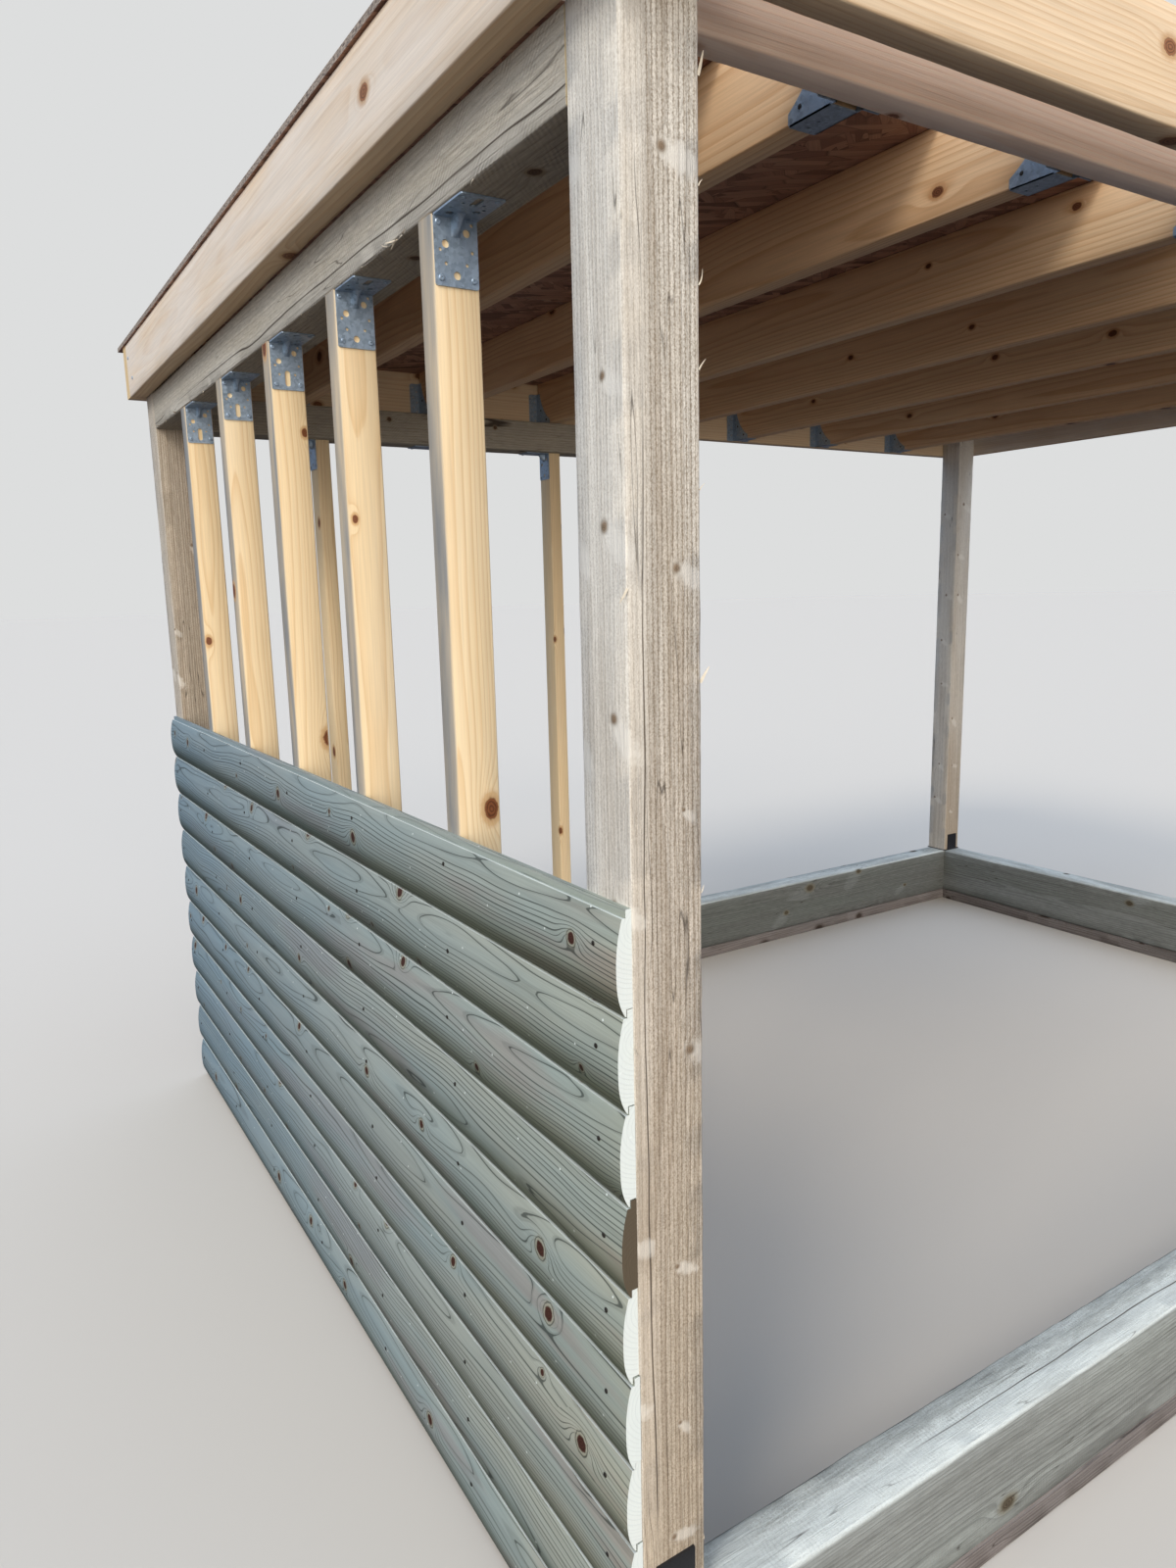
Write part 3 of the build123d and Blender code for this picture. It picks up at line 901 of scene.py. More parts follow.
def eased_rectangle(width: float, height: float, radius: float, spacing: float) -> list[Pair]:
    """Draw a timber's section round its middle, anticlockwise, with eased corners.

    Args:
        width: Full size in the first cross direction.
        height: Full size in the second cross direction.
        radius: Corner radius.
        spacing: Greatest distance between points on the flats.

    Returns:
        The section's points.
    """
    half_w, half_h = width / 2 - radius, height / 2 - radius
    turns = [
        (half_w, -half_h, -90), (half_w, half_h, 0), (-half_w, half_h, 90), (-half_w, -half_h, 180),
    ]

    def on_arc(x: float, y: float, degrees: float) -> Pair:
        """Give a point on a corner's arc."""
        angle = math.radians(degrees)
        return x + radius * math.cos(angle), y + radius * math.sin(angle)

    points: list[Pair] = []
    for index, (x, y, start) in enumerate(turns):
        points += [on_arc(x, y, start + 45 * step) for step in range(3)]
        target = on_arc(*turns[(index + 1) % 4])
        here = points[-1]
        pieces = max(1, round(math.dist(here, target) / spacing))
        for part in range(1, pieces):
            share = part / pieces
            points.append(tuple(a + share * (b - a) for a, b in zip(here, target)))
    return points


@dataclass
class Timber:
    """One length of timber, by its box, the way it runs and its section."""

    low: Vector
    high: Vector
    run: Run
    seed: int
    arris: float = 0.003
    step: float = 0.04  # Distance between rings of points.
    wear: float = 0.0  # How far the arrises are worn in.
    pith: Pair | None = None
    fade_and_shade: Vector | None = None  # The side that the weather has greyed, as long as it is grey.
    far_fade_and_shade: float = 0.0  # How grey the far end is, beside that; on the log-lap boards it is painted shade.
    far_power: float = 1.0
    section: list[Pair] | None = None
    stained: bool = False  # Whether its sawn ends are stained.
    foot_shade: float = 0.0  # How far up from a board's foot the painted shade reaches.


@dataclass
class TimberMesh:
    """Collects timbers as one mesh, with the grain coordinates that a TimberFinish reads."""

    points: list[Vector] = field(default_factory=list)
    faces: list[list[int]] = field(default_factory=list)
    corners: list[Pair] = field(default_factory=list)
    heart: list[Triple] = field(default_factory=list)
    tone: list[Triple] = field(default_factory=list)
    lie: list[Triple] = field(default_factory=list)

    def add(self, timber: Timber) -> None:
        """Add one timber.

        Args:
            timber: What to add.
        """
        length_axis, first, second = timber.run.value
        middle = (timber.low + timber.high) / 2
        size = timber.high - timber.low
        section = timber.section or eased_rectangle(size[first], size[second], timber.arris, SECTION_STEP)
        draw = random.Random(timber.seed)
        number = draw.random()
        pith = timber.pith or (
            draw.uniform(-0.06, 0.06),
            draw.choice((-1, 1)) * draw.uniform(0.03, 0.09),
        )
        shift = (draw.uniform(0, 40), draw.uniform(0, 40))
        rows = max(2, round(size[length_axis] / timber.step) + 1)
        count = len(section)
        rim = [0.0]
        for index in range(count):
            rim.append(rim[-1] + math.dist(section[index], section[(index + 1) % count]))
        outward = []
        for index in range(count):
            ahead, behind = section[(index + 1) % count], section[index - 1]
            outward.append(Vector((ahead[1] - behind[1], behind[0] - ahead[0])).normalized())
        start = len(self.points)
        lowest = min(x for x, _ in section)
        for row in range(rows):
            along = -size[length_axis] / 2 + size[length_axis] * row / (rows - 1)
            for index, (x, y) in enumerate(section):
                out = outward[index]
                sharp = min(1.0, 2.2 * abs(out.x * out.y))
                place = Vector((x * 30 + timber.seed, y * 30, along * 9))
                rough = abs(noise.noise(place)) + 0.6 * abs(noise.noise(place * 3.1))
                inset = timber.wear * rough * (0.12 + sharp)
                spot = Vector((0.0, 0.0, 0.0))
                spot[first] = middle[first] + x - out.x * inset
                spot[second] = middle[second] + y - out.y * inset
                spot[length_axis] = middle[length_axis] + along
                facing = Vector((0.0, 0.0, 0.0))
                facing[first], facing[second] = out.x, out.y
                grey = max(0.0, facing.dot(timber.fade_and_shade)) if timber.fade_and_shade else 0.0
                grey += timber.far_fade_and_shade * (row / (rows - 1)) ** timber.far_power
                ray = Vector((x - pith[0], y - pith[1])).normalized()
                steep = math.sqrt(max(0.0, 1.0 - out.dot(ray) ** 2))
                foot = max(0.0, 1.0 - (x - lowest) / timber.foot_shade) if timber.foot_shade else 0.0
                up = max(0.0, facing.z)
                heart = (x - pith[0], y - pith[1], along + 7 * number)
                self._point(spot, heart, (number, grey, 0.0), (steep, foot, up))
        for row in range(rows - 1):
            u0 = shift[0] + size[length_axis] * row / (rows - 1)
            u1 = shift[0] + size[length_axis] * (row + 1) / (rows - 1)
            for index in range(count):
                near, far = start + row * count, start + (row + 1) * count
                follow = (index + 1) % count
                self.faces.append([near + index, near + follow, far + follow, far + index])
                v0, v1 = shift[1] + rim[index], shift[1] + rim[index + 1]
                self.corners += [(u0, v0), (u0, v1), (u1, v1), (u1, v0)]
        for row, order in ((0, -1), (rows - 1, 1)):
            base = len(self.points)
            for index in range(count):
                source = start + row * count + index
                tone = (number, 0.0, 1.0 + timber.stained)
                self._point(self.points[source].copy(), self.heart[source], tone, (1.0, 0.0, 0.0))
            face = list(range(base, base + count))[::order]
            self.faces.append(face)
            flat = [section[i - base] for i in face]
            self.corners += [(shift[0] + x, shift[1] + y) for x, y in flat]

    def _point(self, spot: Vector, heart: Triple, tone: Triple, lie: Triple) -> None:
        """Store one point with its grain coordinates.

        Args:
            spot: The point.
            heart: Its place from the pith.
            tone: The timber's number, how grey the point is, and 1 or 2 on a sawn end.
            lie: How steeply the rings meet the face, how near the board's foot it is, and how far
                it looks up.
        """
        self.points.append(spot)
        self.heart.append(heart)
        self.tone.append(tone)
        self.lie.append(lie)

    def build(
        self,
        name: str,
        slot: str,
        nodes: Sequence[str],
        finishes: Finishes,
        own: Material | None = None,
    ) -> bpy.types.Object:
        """Make the object, ride it and let it stand for its nodes.

        Args:
            name: The piece's name.
            slot: The record's material slot.
            nodes: The nodes that it stands for.
            finishes: The materials.
            own: A finish that differs from the slot's.

        Returns:
            The piece.
        """
        mesh = new_mesh(name, self.points, (), self.faces)
        layer = mesh.uv_layers.new(name="face")
        layer.data.foreach_set("uv", [value for corner in self.corners for value in corner])
        for title, values in (("heart", self.heart), ("tone", self.tone), ("lie", self.lie)):
            attribute = mesh.attributes.new(title, "FLOAT_VECTOR", "POINT")
            attribute.data.foreach_set("vector", [value for triple in values for value in triple])
        mesh.polygons.foreach_set("use_smooth", [True] * len(mesh.polygons))
        mesh.set_sharp_from_angle(angle=WOOD_CREASE)
        return settle(bpy.data.objects.new(name, mesh), slot, nodes, finishes, own)


def new_mesh(name: str, points: Sequence, edges: Sequence = (), faces: Sequence = ()) -> Mesh:
    """Make a mesh.

    Args:
        name: Its name.
        points: The points.
        edges: Pairs of point numbers.
        faces: Loops of point numbers.

    Returns:
        The mesh.
    """
    mesh = bpy.data.meshes.new(name)
    mesh.from_pydata(points, edges, faces)
    return mesh


def new_object(name: str, data: bpy.types.ID) -> bpy.types.Object:
    """Make an object and link it to the scene.

    Args:
        name: Its name.
        data: What it shows.

    Returns:
        The object.
    """
    made = bpy.data.objects.new(name, data)
    bpy.context.scene.collection.objects.link(made)
    return made


def settle(
    piece: bpy.types.Object,
    slot: str,
    nodes: Sequence[str],
    finishes: Finishes,
    own: Material | None = None,
) -> bpy.types.Object:
    """Link a finished piece, give it its finish, let it ride the root body and hide the nodes that it
    stands for.

    Args:
        piece: The new object, at the origin.
        slot: The record's material slot.
        nodes: The nodes that it stands for, or none.
        finishes: The materials.
        own: A finish that differs from the slot's.

    Returns:
        The same object.
    """
    bpy.context.scene.collection.objects.link(piece)
    piece.data.materials.clear()
    piece.data.materials.append(own or finishes.slots[slot])
    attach(piece, ROOT)
    if nodes:
        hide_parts(*nodes)
    log.info("%s: %d faces", piece.name, len(piece.data.polygons))
    return piece


def node_box(node: str) -> tuple[Vector, Vector]:
    """Give a node's lowest and highest corner."""
    low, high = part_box(node)
    return Vector(low), Vector(high)


def row_places(low: float, high: float, count: int, thickness: float) -> list[float]:
    """Give the near faces of equal pieces, from the first one's near face to the last one's far face."""
    pitch = (high - low - thickness) / (count - 1)
    return [low + index * pitch for index in range(count)]


@dataclass
class SleeperRing:
    """The sleepers on edge, and the thin boards that level them."""

    arris: float = 0.006
    wear: float = 0.004

    def build(self, finishes: Finishes) -> None:
        """Build both layers.

        Args:
            finishes: The materials.
        """
        runs = {"front": Run.ALONG_X, "back": Run.ALONG_X, "left": Run.ALONG_Y, "right": Run.ALONG_Y}
        for seed, (side, run) in enumerate(runs.items()):
            low, high = node_box(f"{side}_sleeper")
            made = TimberMesh()
            grey = Vector((-0.15, -0.2 if side == "front" else 0.0, 0.95))
            number = SEEDS["sleeper"] + seed
            made.add(Timber(low, high, run, number, self.arris, 0.03, self.wear, fade_and_shade=grey))
            made.build(f"sleeper_{side}", "treated_sleeper", [f"{side}_sleeper"], finishes)
            low, high = node_box(f"{side}_base_board")
            made = TimberMesh()
            number = SEEDS["base"] + seed
            made.add(Timber(low, high, run, number, arris=0.004, step=0.03, wear=0.006))
            made.build(f"base_{side}", "weathered_board", [f"{side}_base_board"], finishes)


@dataclass
class PostsAndBeams:
    """The rough sawn posts, and the beams between them.

    A post's pith and its fade at the head differ where the photograph shows them.
    """

    arris: float = 0.003
    wear: float = 0.0028
    side: Vector = field(default_factory=lambda: Vector((-0.45, 0, 0)))
    piths: dict[str, Pair] = field(
        default_factory=lambda: {
            "front_left": (-0.034, 0.03), "back_right": (0.09, 0.05), "back_left": (-0.09, 0.05),
        }
    )
    # The back right post's stronger fade is partly weathering and partly painted light, lightening a post
    # that the lamps leave in shade.
    head_fades_and_light: dict[str, float] = field(default_factory=lambda: {"back_right": 1.2, "back_left": 0.3})

    def build(self, finishes: Finishes) -> None:
        """Build the posts and the beams.

        Args:
            finishes: The materials.
        """
        posts = ("front_left", "front_right", "back_left", "back_middle", "back_right")
        for seed, place in enumerate(posts):
            low, high = node_box(f"{place}_post")
            made = TimberMesh()
            pith, fade = self.piths.get(place), self.head_fades_and_light.get(place, 0.9)
            number = SEEDS["post"] + seed
            grain = (pith, self.side, fade)
            made.add(Timber(low, high, Run.UPRIGHT, number, self.arris, 0.02, self.wear, *grain))
            made.build(f"post_{place}", "treated_post", [f"{place}_post"], finishes)
        for seed, (side, run) in enumerate((("left", Run.ALONG_Y), ("back", Run.ALONG_X))):
            low, high = node_box(f"{side}_beam")
            made = TimberMesh()
            number = SEEDS["beam"] + seed
            grey = Vector((-0.5, 0, 0))
            made.add(Timber(low, high, run, number, self.arris, 0.025, self.wear, fade_and_shade=grey))
            made.build(f"beam_{side}", "treated_post", [f"{side}_beam"], finishes, finishes.beam)


@dataclass
class RoofFrame:
    """The boards round the roof, the header and the joists."""

    def build(self, finishes: Finishes) -> None:
        """Build the boards and the joists.

        Args:
            finishes: The materials.
        """
        boards = {
            "front_fascia": (Run.ALONG_X, "roof_timber"), "back_fascia": (Run.ALONG_X, "roof_timber"),
            "left_fascia": (Run.ALONG_Y, "roof_timber"), "right_fascia": (Run.ALONG_Y, "roof_timber"),
            "front_header": (Run.ALONG_X, "pink_timber"),
        }
        for seed, (node, (run, slot)) in enumerate(boards.items()):
            low, high = node_box(node)
            made = TimberMesh()
            number = SEEDS["roof"] + seed
            grey = Vector((-0.8, 0, 0))
            made.add(Timber(low, high, run, number, step=0.03, wear=0.001, fade_and_shade=grey))
            made.build(f"{node}_board", slot, [node], finishes)
        low, high = node_box("roof_joists")
        made = TimberMesh()
        for seed, left in enumerate(row_places(low.x, high.x, JOISTS, PLANK)):
            near, far = Vector((left, low.y, low.z)), Vector((left + PLANK, high.y, high.z))
            number = SEEDS["joist"] + seed
            made.add(Timber(near, far, Run.ALONG_Y, number, step=0.05, wear=0.0008))
        made.build("joist_row", "roof_timber", ["roof_joists"], finishes, finishes.joist)


@dataclass
class StudWalls:
    """The planed studs of the left and the back wall."""

    def build(self, finishes: Finishes) -> None:
        """Build the studs.

        Args:
            finishes: The materials.
        """
        low, high = node_box("left_studs")
        made = TimberMesh()
        grey = Vector((-1.0, 0, 0))
        for seed, near in enumerate(row_places(low.y, high.y, LEFT_STUDS, PLANK)):
            box = Vector((low.x, near, low.z)), Vector((high.x, near + PLANK, high.z))
            number = SEEDS["left_stud"] + seed
            made.add(Timber(*box, Run.UPRIGHT, number, step=0.05, wear=0.0006, fade_and_shade=grey))
        made.build("stud_row_left", "planed_stud", ["left_studs"], finishes)
        low, high = node_box("back_studs")
        made = TimberMesh()
        for seed, near in enumerate(row_places(low.x, high.x, BACK_STUDS, PLANK)):
            box = Vector((near, low.y, low.z)), Vector((near + PLANK, high.y, high.z))
            number = SEEDS["back_stud"] + seed
            made.add(Timber(*box, Run.UPRIGHT, number, step=0.05, wear=0.0006))
        made.build("stud_row_back", "planed_stud", ["back_studs"], finishes)


@dataclass
class LogLapWall:
    """The log-lap boards on the outside of the left wall."""

    board_count: int = 10
    cover: float = 0.1193
    thickness: float = 0.022
    foot_sag: float = 0.0115  # How far the face falls back at the foot and at the shoulder.
    shoulder_sag: float = 0.009
    foot_fullness: float = 3.2  # The power of that curve: higher is flatter in the middle.
    shoulder_fullness: float = 2.1
    tongue: Pair = (0.008, 0.009)  # Thickness and height.
    play: float = 0.001
    lip: float = 0.0009
    arc_steps: int = 18
    stained_board: int = 7
    far_shade: Pair = (0.9, 0.6)  # Painted shade towards the far end: its strength and its power.
    # How far up from each board's foot the painted shade reaches.
    foot_shade_height: float = 0.066
    nail_share: float = 0.66
    nail_inset: float = 0.048

    def depth(self, place: float) -> float:
        """Give the board's depth at a place from -1 at the foot to 1 at the shoulder."""
        if place < 0:
            return self.thickness - self.foot_sag * (-place) ** self.foot_fullness
        return self.thickness - self.shoulder_sag * place**self.shoulder_fullness

    def section(self) -> list[Pair]:
        """Draw the board's section round the middle of its box, height first, then outward depth.

        Returns:
            The section, anticlockwise.
        """
        thick, tall = self.tongue
        rebate, rebate_top = thick + self.play, tall + self.play
        inside = [
            (self.lip, -rebate), (rebate_top, -rebate), (rebate_top, 0.0), (self.cover + tall, 0.0),
            (self.cover + tall, -thick), (self.cover - self.lip, -thick),
        ]
        half = self.cover / 2
        arc = []
        for step in range(self.arc_steps + 1):
            place = math.cos(math.pi * step / self.arc_steps)
            arc.append((half + (half - self.lip) * place, -self.depth(place)))
        outline = inside + arc
        mid_z, mid_x = (self.cover + tall) / 2, -self.thickness / 2
        return [(z - mid_z, x - mid_x) for z, x in outline]

    def build(self, finishes: Finishes) -> None:
        """Build the boards one by one.

        Args:
            finishes: The materials.
        """
        section = self.section()
        area = sum(a[0] * b[1] - b[0] * a[1] for a, b in zip(section, section[1:] + section[:1]))
        if area < 0:
            section.reverse()
        for index in range(1, self.board_count + 1):
            low, high = node_box(f"cladding_board_{index}")
            number = SEEDS["loglap"] + index
            draw = random.Random(number)
            low.y += draw.uniform(0.0, 0.004)
            made = TimberMesh()
            pith = (draw.choice((-1, 1)) * draw.uniform(0.012, 0.05), draw.uniform(0.018, 0.04))
            board = Timber(low, high, Run.ALONG_Y, number, step=0.03, pith=pith, section=section)
            # Painted shade darkens each board towards the far end and at its foot.
            board.far_fade_and_shade, board.far_power = self.far_shade
            board.foot_shade = self.foot_shade_height
            board.stained = index == self.stained_board
            made.add(board)
            made.build(f"loglap_board_{index}", "loglap", [f"cladding_board_{index}"], finishes)


def grow(tree: Tree, mesh: Mesh, values: dict) -> Mesh:
    """Run a geometry tree on a mesh.

    Args:
        tree: The tree.
        mesh: What it starts from.
        values: Input name to value.

    Returns:
        The plain mesh that comes out.
    """
    holder = new_object("holder", mesh)
    modifier = holder.modifiers.new("grow", "NODES")
    modifier.node_group = tree
    for item in tree.interface.items_tree:
        if item.item_type == "SOCKET" and item.in_out == "INPUT" and item.name in values:
            modifier[item.identifier] = values[item.name]
    view = bpy.context.evaluated_depsgraph_get()
    grown = holder.evaluated_get(view)
    made = bpy.data.meshes.new_from_object(grown, preserve_all_data_layers=True, depsgraph=view)
    bpy.data.objects.remove(holder)
    return made


def open_tree(name: str, inputs: dict[str, str]) -> tuple[Graph, Node]:
    """Start a geometry tree.

    Args:
        name: The tree's name.
        inputs: Input name to socket type.

    Returns:
        The graph and its input node.
    """
    tree = bpy.data.node_groups.new(name, "GeometryNodeTree")
    for title, kind in {"Geometry": "NodeSocketGeometry", **inputs}.items():
        tree.interface.new_socket(name=title, in_out="INPUT", socket_type=kind)
    tree.interface.new_socket(name="Geometry", in_out="OUTPUT", socket_type="NodeSocketGeometry")
    g = Graph(tree)
    return g, g.add("NodeGroupInput")


def close_tree(g: Graph, shape: Node, material: Socket) -> Tree:
    """End a geometry tree in real, finished faces.

    Args:
        g: The graph.
        shape: The node that gives the shape.
        material: The material input.

    Returns:
        The tree.
    """
    real = g.add("GeometryNodeRealizeInstances", {0: shape})
    coated = g.add("GeometryNodeSetMaterial", {"Geometry": real, "Material": material})
    g.add("NodeGroupOutput", {0: coated})
    return g.tree


def plate_tree() -> Tree:
    """Build the tree that fills a rim, pierces it with round holes and makes it a sheet.

    Returns:
        The tree. Its mesh holds the rims as edges, the Holes object a point with a radius for each
        hole.
    """
    inputs = {
        "Holes": "NodeSocketObject", "Hole Sides": "NodeSocketInt",
        "Thickness": "NodeSocketFloat", "Material": "NodeSocketMaterial",
    }
    g, entry = open_tree("pierced_sheet", inputs)
    rims = g.add("GeometryNodeMeshToCurve", {0: entry.outputs["Geometry"]})
    holes = g.add("GeometryNodeObjectInfo", {0: entry.outputs["Holes"]})
    radius = g.add("GeometryNodeInputNamedAttribute", {"Name": "radius"}, data_type="FLOAT")
    sides = entry.outputs["Hole Sides"]
    ring = g.add("GeometryNodeCurvePrimitiveCircle", {"Resolution": sides, "Radius": 1.0})
    punched = g.add(
        "GeometryNodeInstanceOnPoints",
        {"Points": holes.outputs["Geometry"], "Instance": ring, "Scale": radius.outputs["Attribute"]},
    )
    punched = g.add("GeometryNodeRealizeInstances", {0: punched})
    loops = g.add("GeometryNodeJoinGeometry", {0: [rims, punched]})
    sheet = g.add("GeometryNodeFillCurve", {0: loops})
    raised = g.add(
        "GeometryNodeExtrudeMesh",
        {"Mesh": sheet, "Offset Scale": entry.outputs["Thickness"], "Individual": False},
    )
    under = g.add("GeometryNodeFlipFaces", {0: sheet})
    whole = g.add("GeometryNodeJoinGeometry", {0: [raised, under]})
    whole = g.add("GeometryNodeMergeByDistance", {0: whole, "Distance": 1e-5})
    return close_tree(g, whole, entry.outputs["Material"])


def scatter_tree() -> Tree:
    """Build the tree that stands one small piece on every point, turned to the point's facing.

    Returns:
        The tree.
    """
    inputs = {
        "Piece": "NodeSocketObject", "Seed": "NodeSocketInt", "Tilt": "NodeSocketFloat",
        "Smallest": "NodeSocketFloat", "Largest": "NodeSocketFloat", "Material": "NodeSocketMaterial",
    }
    g, entry = open_tree("scattered_pieces", inputs)
    facing = g.add("GeometryNodeInputNamedAttribute", {"Name": "facing"}, data_type="FLOAT_VECTOR")
    facing = facing.outputs["Attribute"]
    upright = g.add("FunctionNodeAlignRotationToVector", {"Vector": facing}, axis="Z")
    piece = g.add("GeometryNodeObjectInfo", {0: entry.outputs["Piece"]})
    size = g.add(
        "FunctionNodeRandomValue",
        {2: entry.outputs["Smallest"], 3: entry.outputs["Largest"], "Seed": entry.outputs["Seed"]},
    )
    placed = g.add(
        "GeometryNodeInstanceOnPoints",
        {
            "Points": entry.outputs["Geometry"], "Instance": piece.outputs["Geometry"],
            "Rotation": upright, "Scale": size.outputs[1],
        },
    )
    back = g.math("MULTIPLY", entry.outputs["Tilt"], -1.0)
    least = g.point(back, back, 0.0)
    most = g.point(entry.outputs["Tilt"], entry.outputs["Tilt"], 2 * math.pi)
    turn = g.add(
        "FunctionNodeRandomValue",
        {0: least, 1: most, "Seed": entry.outputs["Seed"]},
        data_type="FLOAT_VECTOR",
    )
    values = {"Instances": placed, "Rotation": turn, "Local Space": True}
    return close_tree(g, g.add("GeometryNodeRotateInstances", values), entry.outputs["Material"])


@dataclass
class Plate:
    """A flat sheet's rims and its round holes, each hole as two places and a radius."""

    rims: list[list[Pair]]
    holes: list[Triple]
    thickness: float
    hole_sides: int = 12

    def mesh(self, tree: Tree, finish: Material) -> Mesh:
        """Make the sheet in its own plane, from zero up to its thickness.

        Args:
            tree: The plate tree.
            finish: Its material.

        Returns:
            The sheet.
        """
        points, edges = [], []
        for rim in self.rims:
            first = len(points)
            points += [(x, y, 0.0) for x, y in rim]
            edges += [(first + i, first + (i + 1) % len(rim)) for i in range(len(rim))]
        base = new_mesh("rims", points, edges)
        dots = new_mesh("holes", [(x, y, 0.0) for x, y, _ in self.holes])
        radius = dots.attributes.new("radius", "FLOAT", "POINT")
        radius.data.foreach_set("value", [r for _, _, r in self.holes])
        holes = new_object("holes", dots)
        values = {"Holes": holes, "Hole Sides": self.hole_sides, "Thickness": self.thickness}
        made = grow(tree, base, {**values, "Material": finish})
        bpy.data.objects.remove(holes)
        return made


def rounded_rim(low: Pair, high: Pair, radii: Sequence[float], steps: int = 4) -> list[Pair]:
    """Draw a rectangle with its own radius at each corner.

    Args:
        low: Lower left corner.
        high: Upper right corner.
        radii: Radius at the lower left, lower right, upper right and upper left.
        steps: Steps in each rounded corner.

    Returns:
        The points, anticlockwise.
    """
    places = [
        (low[0], low[1], 1, 1, 180), (high[0], low[1], -1, 1, 270),
        (high[0], high[1], -1, -1, 0), (low[0], high[1], 1, -1, 90),
    ]
    rim = []
    for (x, y, across, along, start), radius in zip(places, radii):
        if radius == 0:
            rim.append((x, y))
            continue
        for step in range(steps + 1):
            angle = math.radians(start + 90 * step / steps)
            right, up = across + math.cos(angle), along + math.sin(angle)
            rim.append((x + radius * right, y + radius * up))
    return rim


def joined(name: str, parts: Sequence[tuple[Mesh, Matrix]]) -> Mesh:
    """Join copies of meshes.

    Args:
        name: The new mesh's name.
        parts: Each mesh with its placing.

    Returns:
        One mesh.
    """
    gathered = bmesh.new()
    for mesh, place in parts:
        copy = mesh.copy()
        copy.transform(place)
        gathered.from_mesh(copy)
        bpy.data.meshes.remove(copy)
    made = bpy.data.meshes.new(name)
    gathered.to_mesh(made)
    gathered.free()
    made.polygons.foreach_set("use_smooth", [True] * len(made.polygons))
    made.set_sharp_from_angle(angle=STEEL_CREASE)
    return made


def turned(columns: tuple[Triple, Triple, Triple], place: Triple = (0.0, 0.0, 0.0)) -> Matrix:
    """Make a placing from where its X, Y and Z go.

    Args:
        columns: The new directions of X, Y and Z.
        place: Where the origin goes.

    Returns:
        The matrix.
    """
    return Matrix.Translation(place) @ Matrix(columns).transposed().to_4x4()


@dataclass
class Batch:
    """Heads of one kind: the piece's name, its seed, slot and finish, and how far the heads differ."""

    name: str
    kind: str
    seed: int
    slot: str
    own: Material | None = None
    tilt: float = 0.06
    sizes: Pair = (0.92, 1.05)


@dataclass
class Fasteners:
    """Nail and screw heads and splinters, by the place they sit at, made by the scatter tree."""

    tree: Tree
    spots: dict[str, list[tuple[Vector, Vector]]] = field(default_factory=dict)

    def add(self, kind: str, spot: Vector, facing: Vector) -> None:
        """Note a head of one kind, its place on the surface and the way that it looks."""
        self.spots.setdefault(kind, []).append((spot, facing))

    @staticmethod
    def head(rings: Sequence[Pair], sides: int) -> Mesh:
        """Turn a head's profile round Z.

        Args:
            rings: Radius and height of each ring, from the rim to the middle.
            sides: How many sides.

        Returns:
            The head's mesh.
        """
        points, faces = [], []
        for radius, height in rings:
            for side in range(sides):
                angle = 2 * math.pi * side / sides
                points.append((radius * math.cos(angle), radius * math.sin(angle), height))
        for ring in range(len(rings) - 1):
            for side in range(sides):
                follow = (side + 1) % sides
                a, b = ring * sides, (ring + 1) * sides
                faces.append((a + side, a + follow, b + follow, b + side))
        faces.append(tuple(range((len(rings) - 1) * sides, len(rings) * sides)))
        return new_mesh("head", points, (), faces)

    def build(self, batch: Batch, head: Mesh, finishes: Finishes) -> None:
        """Build all heads of one kind as one piece.

        Args:
            batch: Which heads, and how they differ.
            head: One head's mesh.
            finishes: The materials.
        """
        spots = self.spots[batch.kind]
        material = batch.own or finishes.slots[batch.slot]
        base = new_mesh("spots", [spot for spot, _ in spots])
        values = [value for _, facing in spots for value in facing.normalized()]
        base.attributes.new("facing", "FLOAT_VECTOR", "POINT").data.foreach_set("vector", values)
        piece = new_object("piece", head)
        inputs = {
            "Piece": piece, "Seed": batch.seed, "Tilt": batch.tilt, "Material": material,
            "Smallest": batch.sizes[0], "Largest": batch.sizes[1],
        }
        made = joined(batch.name, [(grow(self.tree, base, inputs), Matrix.Identity(4))])
        bpy.data.objects.remove(piece)
        settle(bpy.data.objects.new(batch.name, made), batch.slot, [], finishes, material)


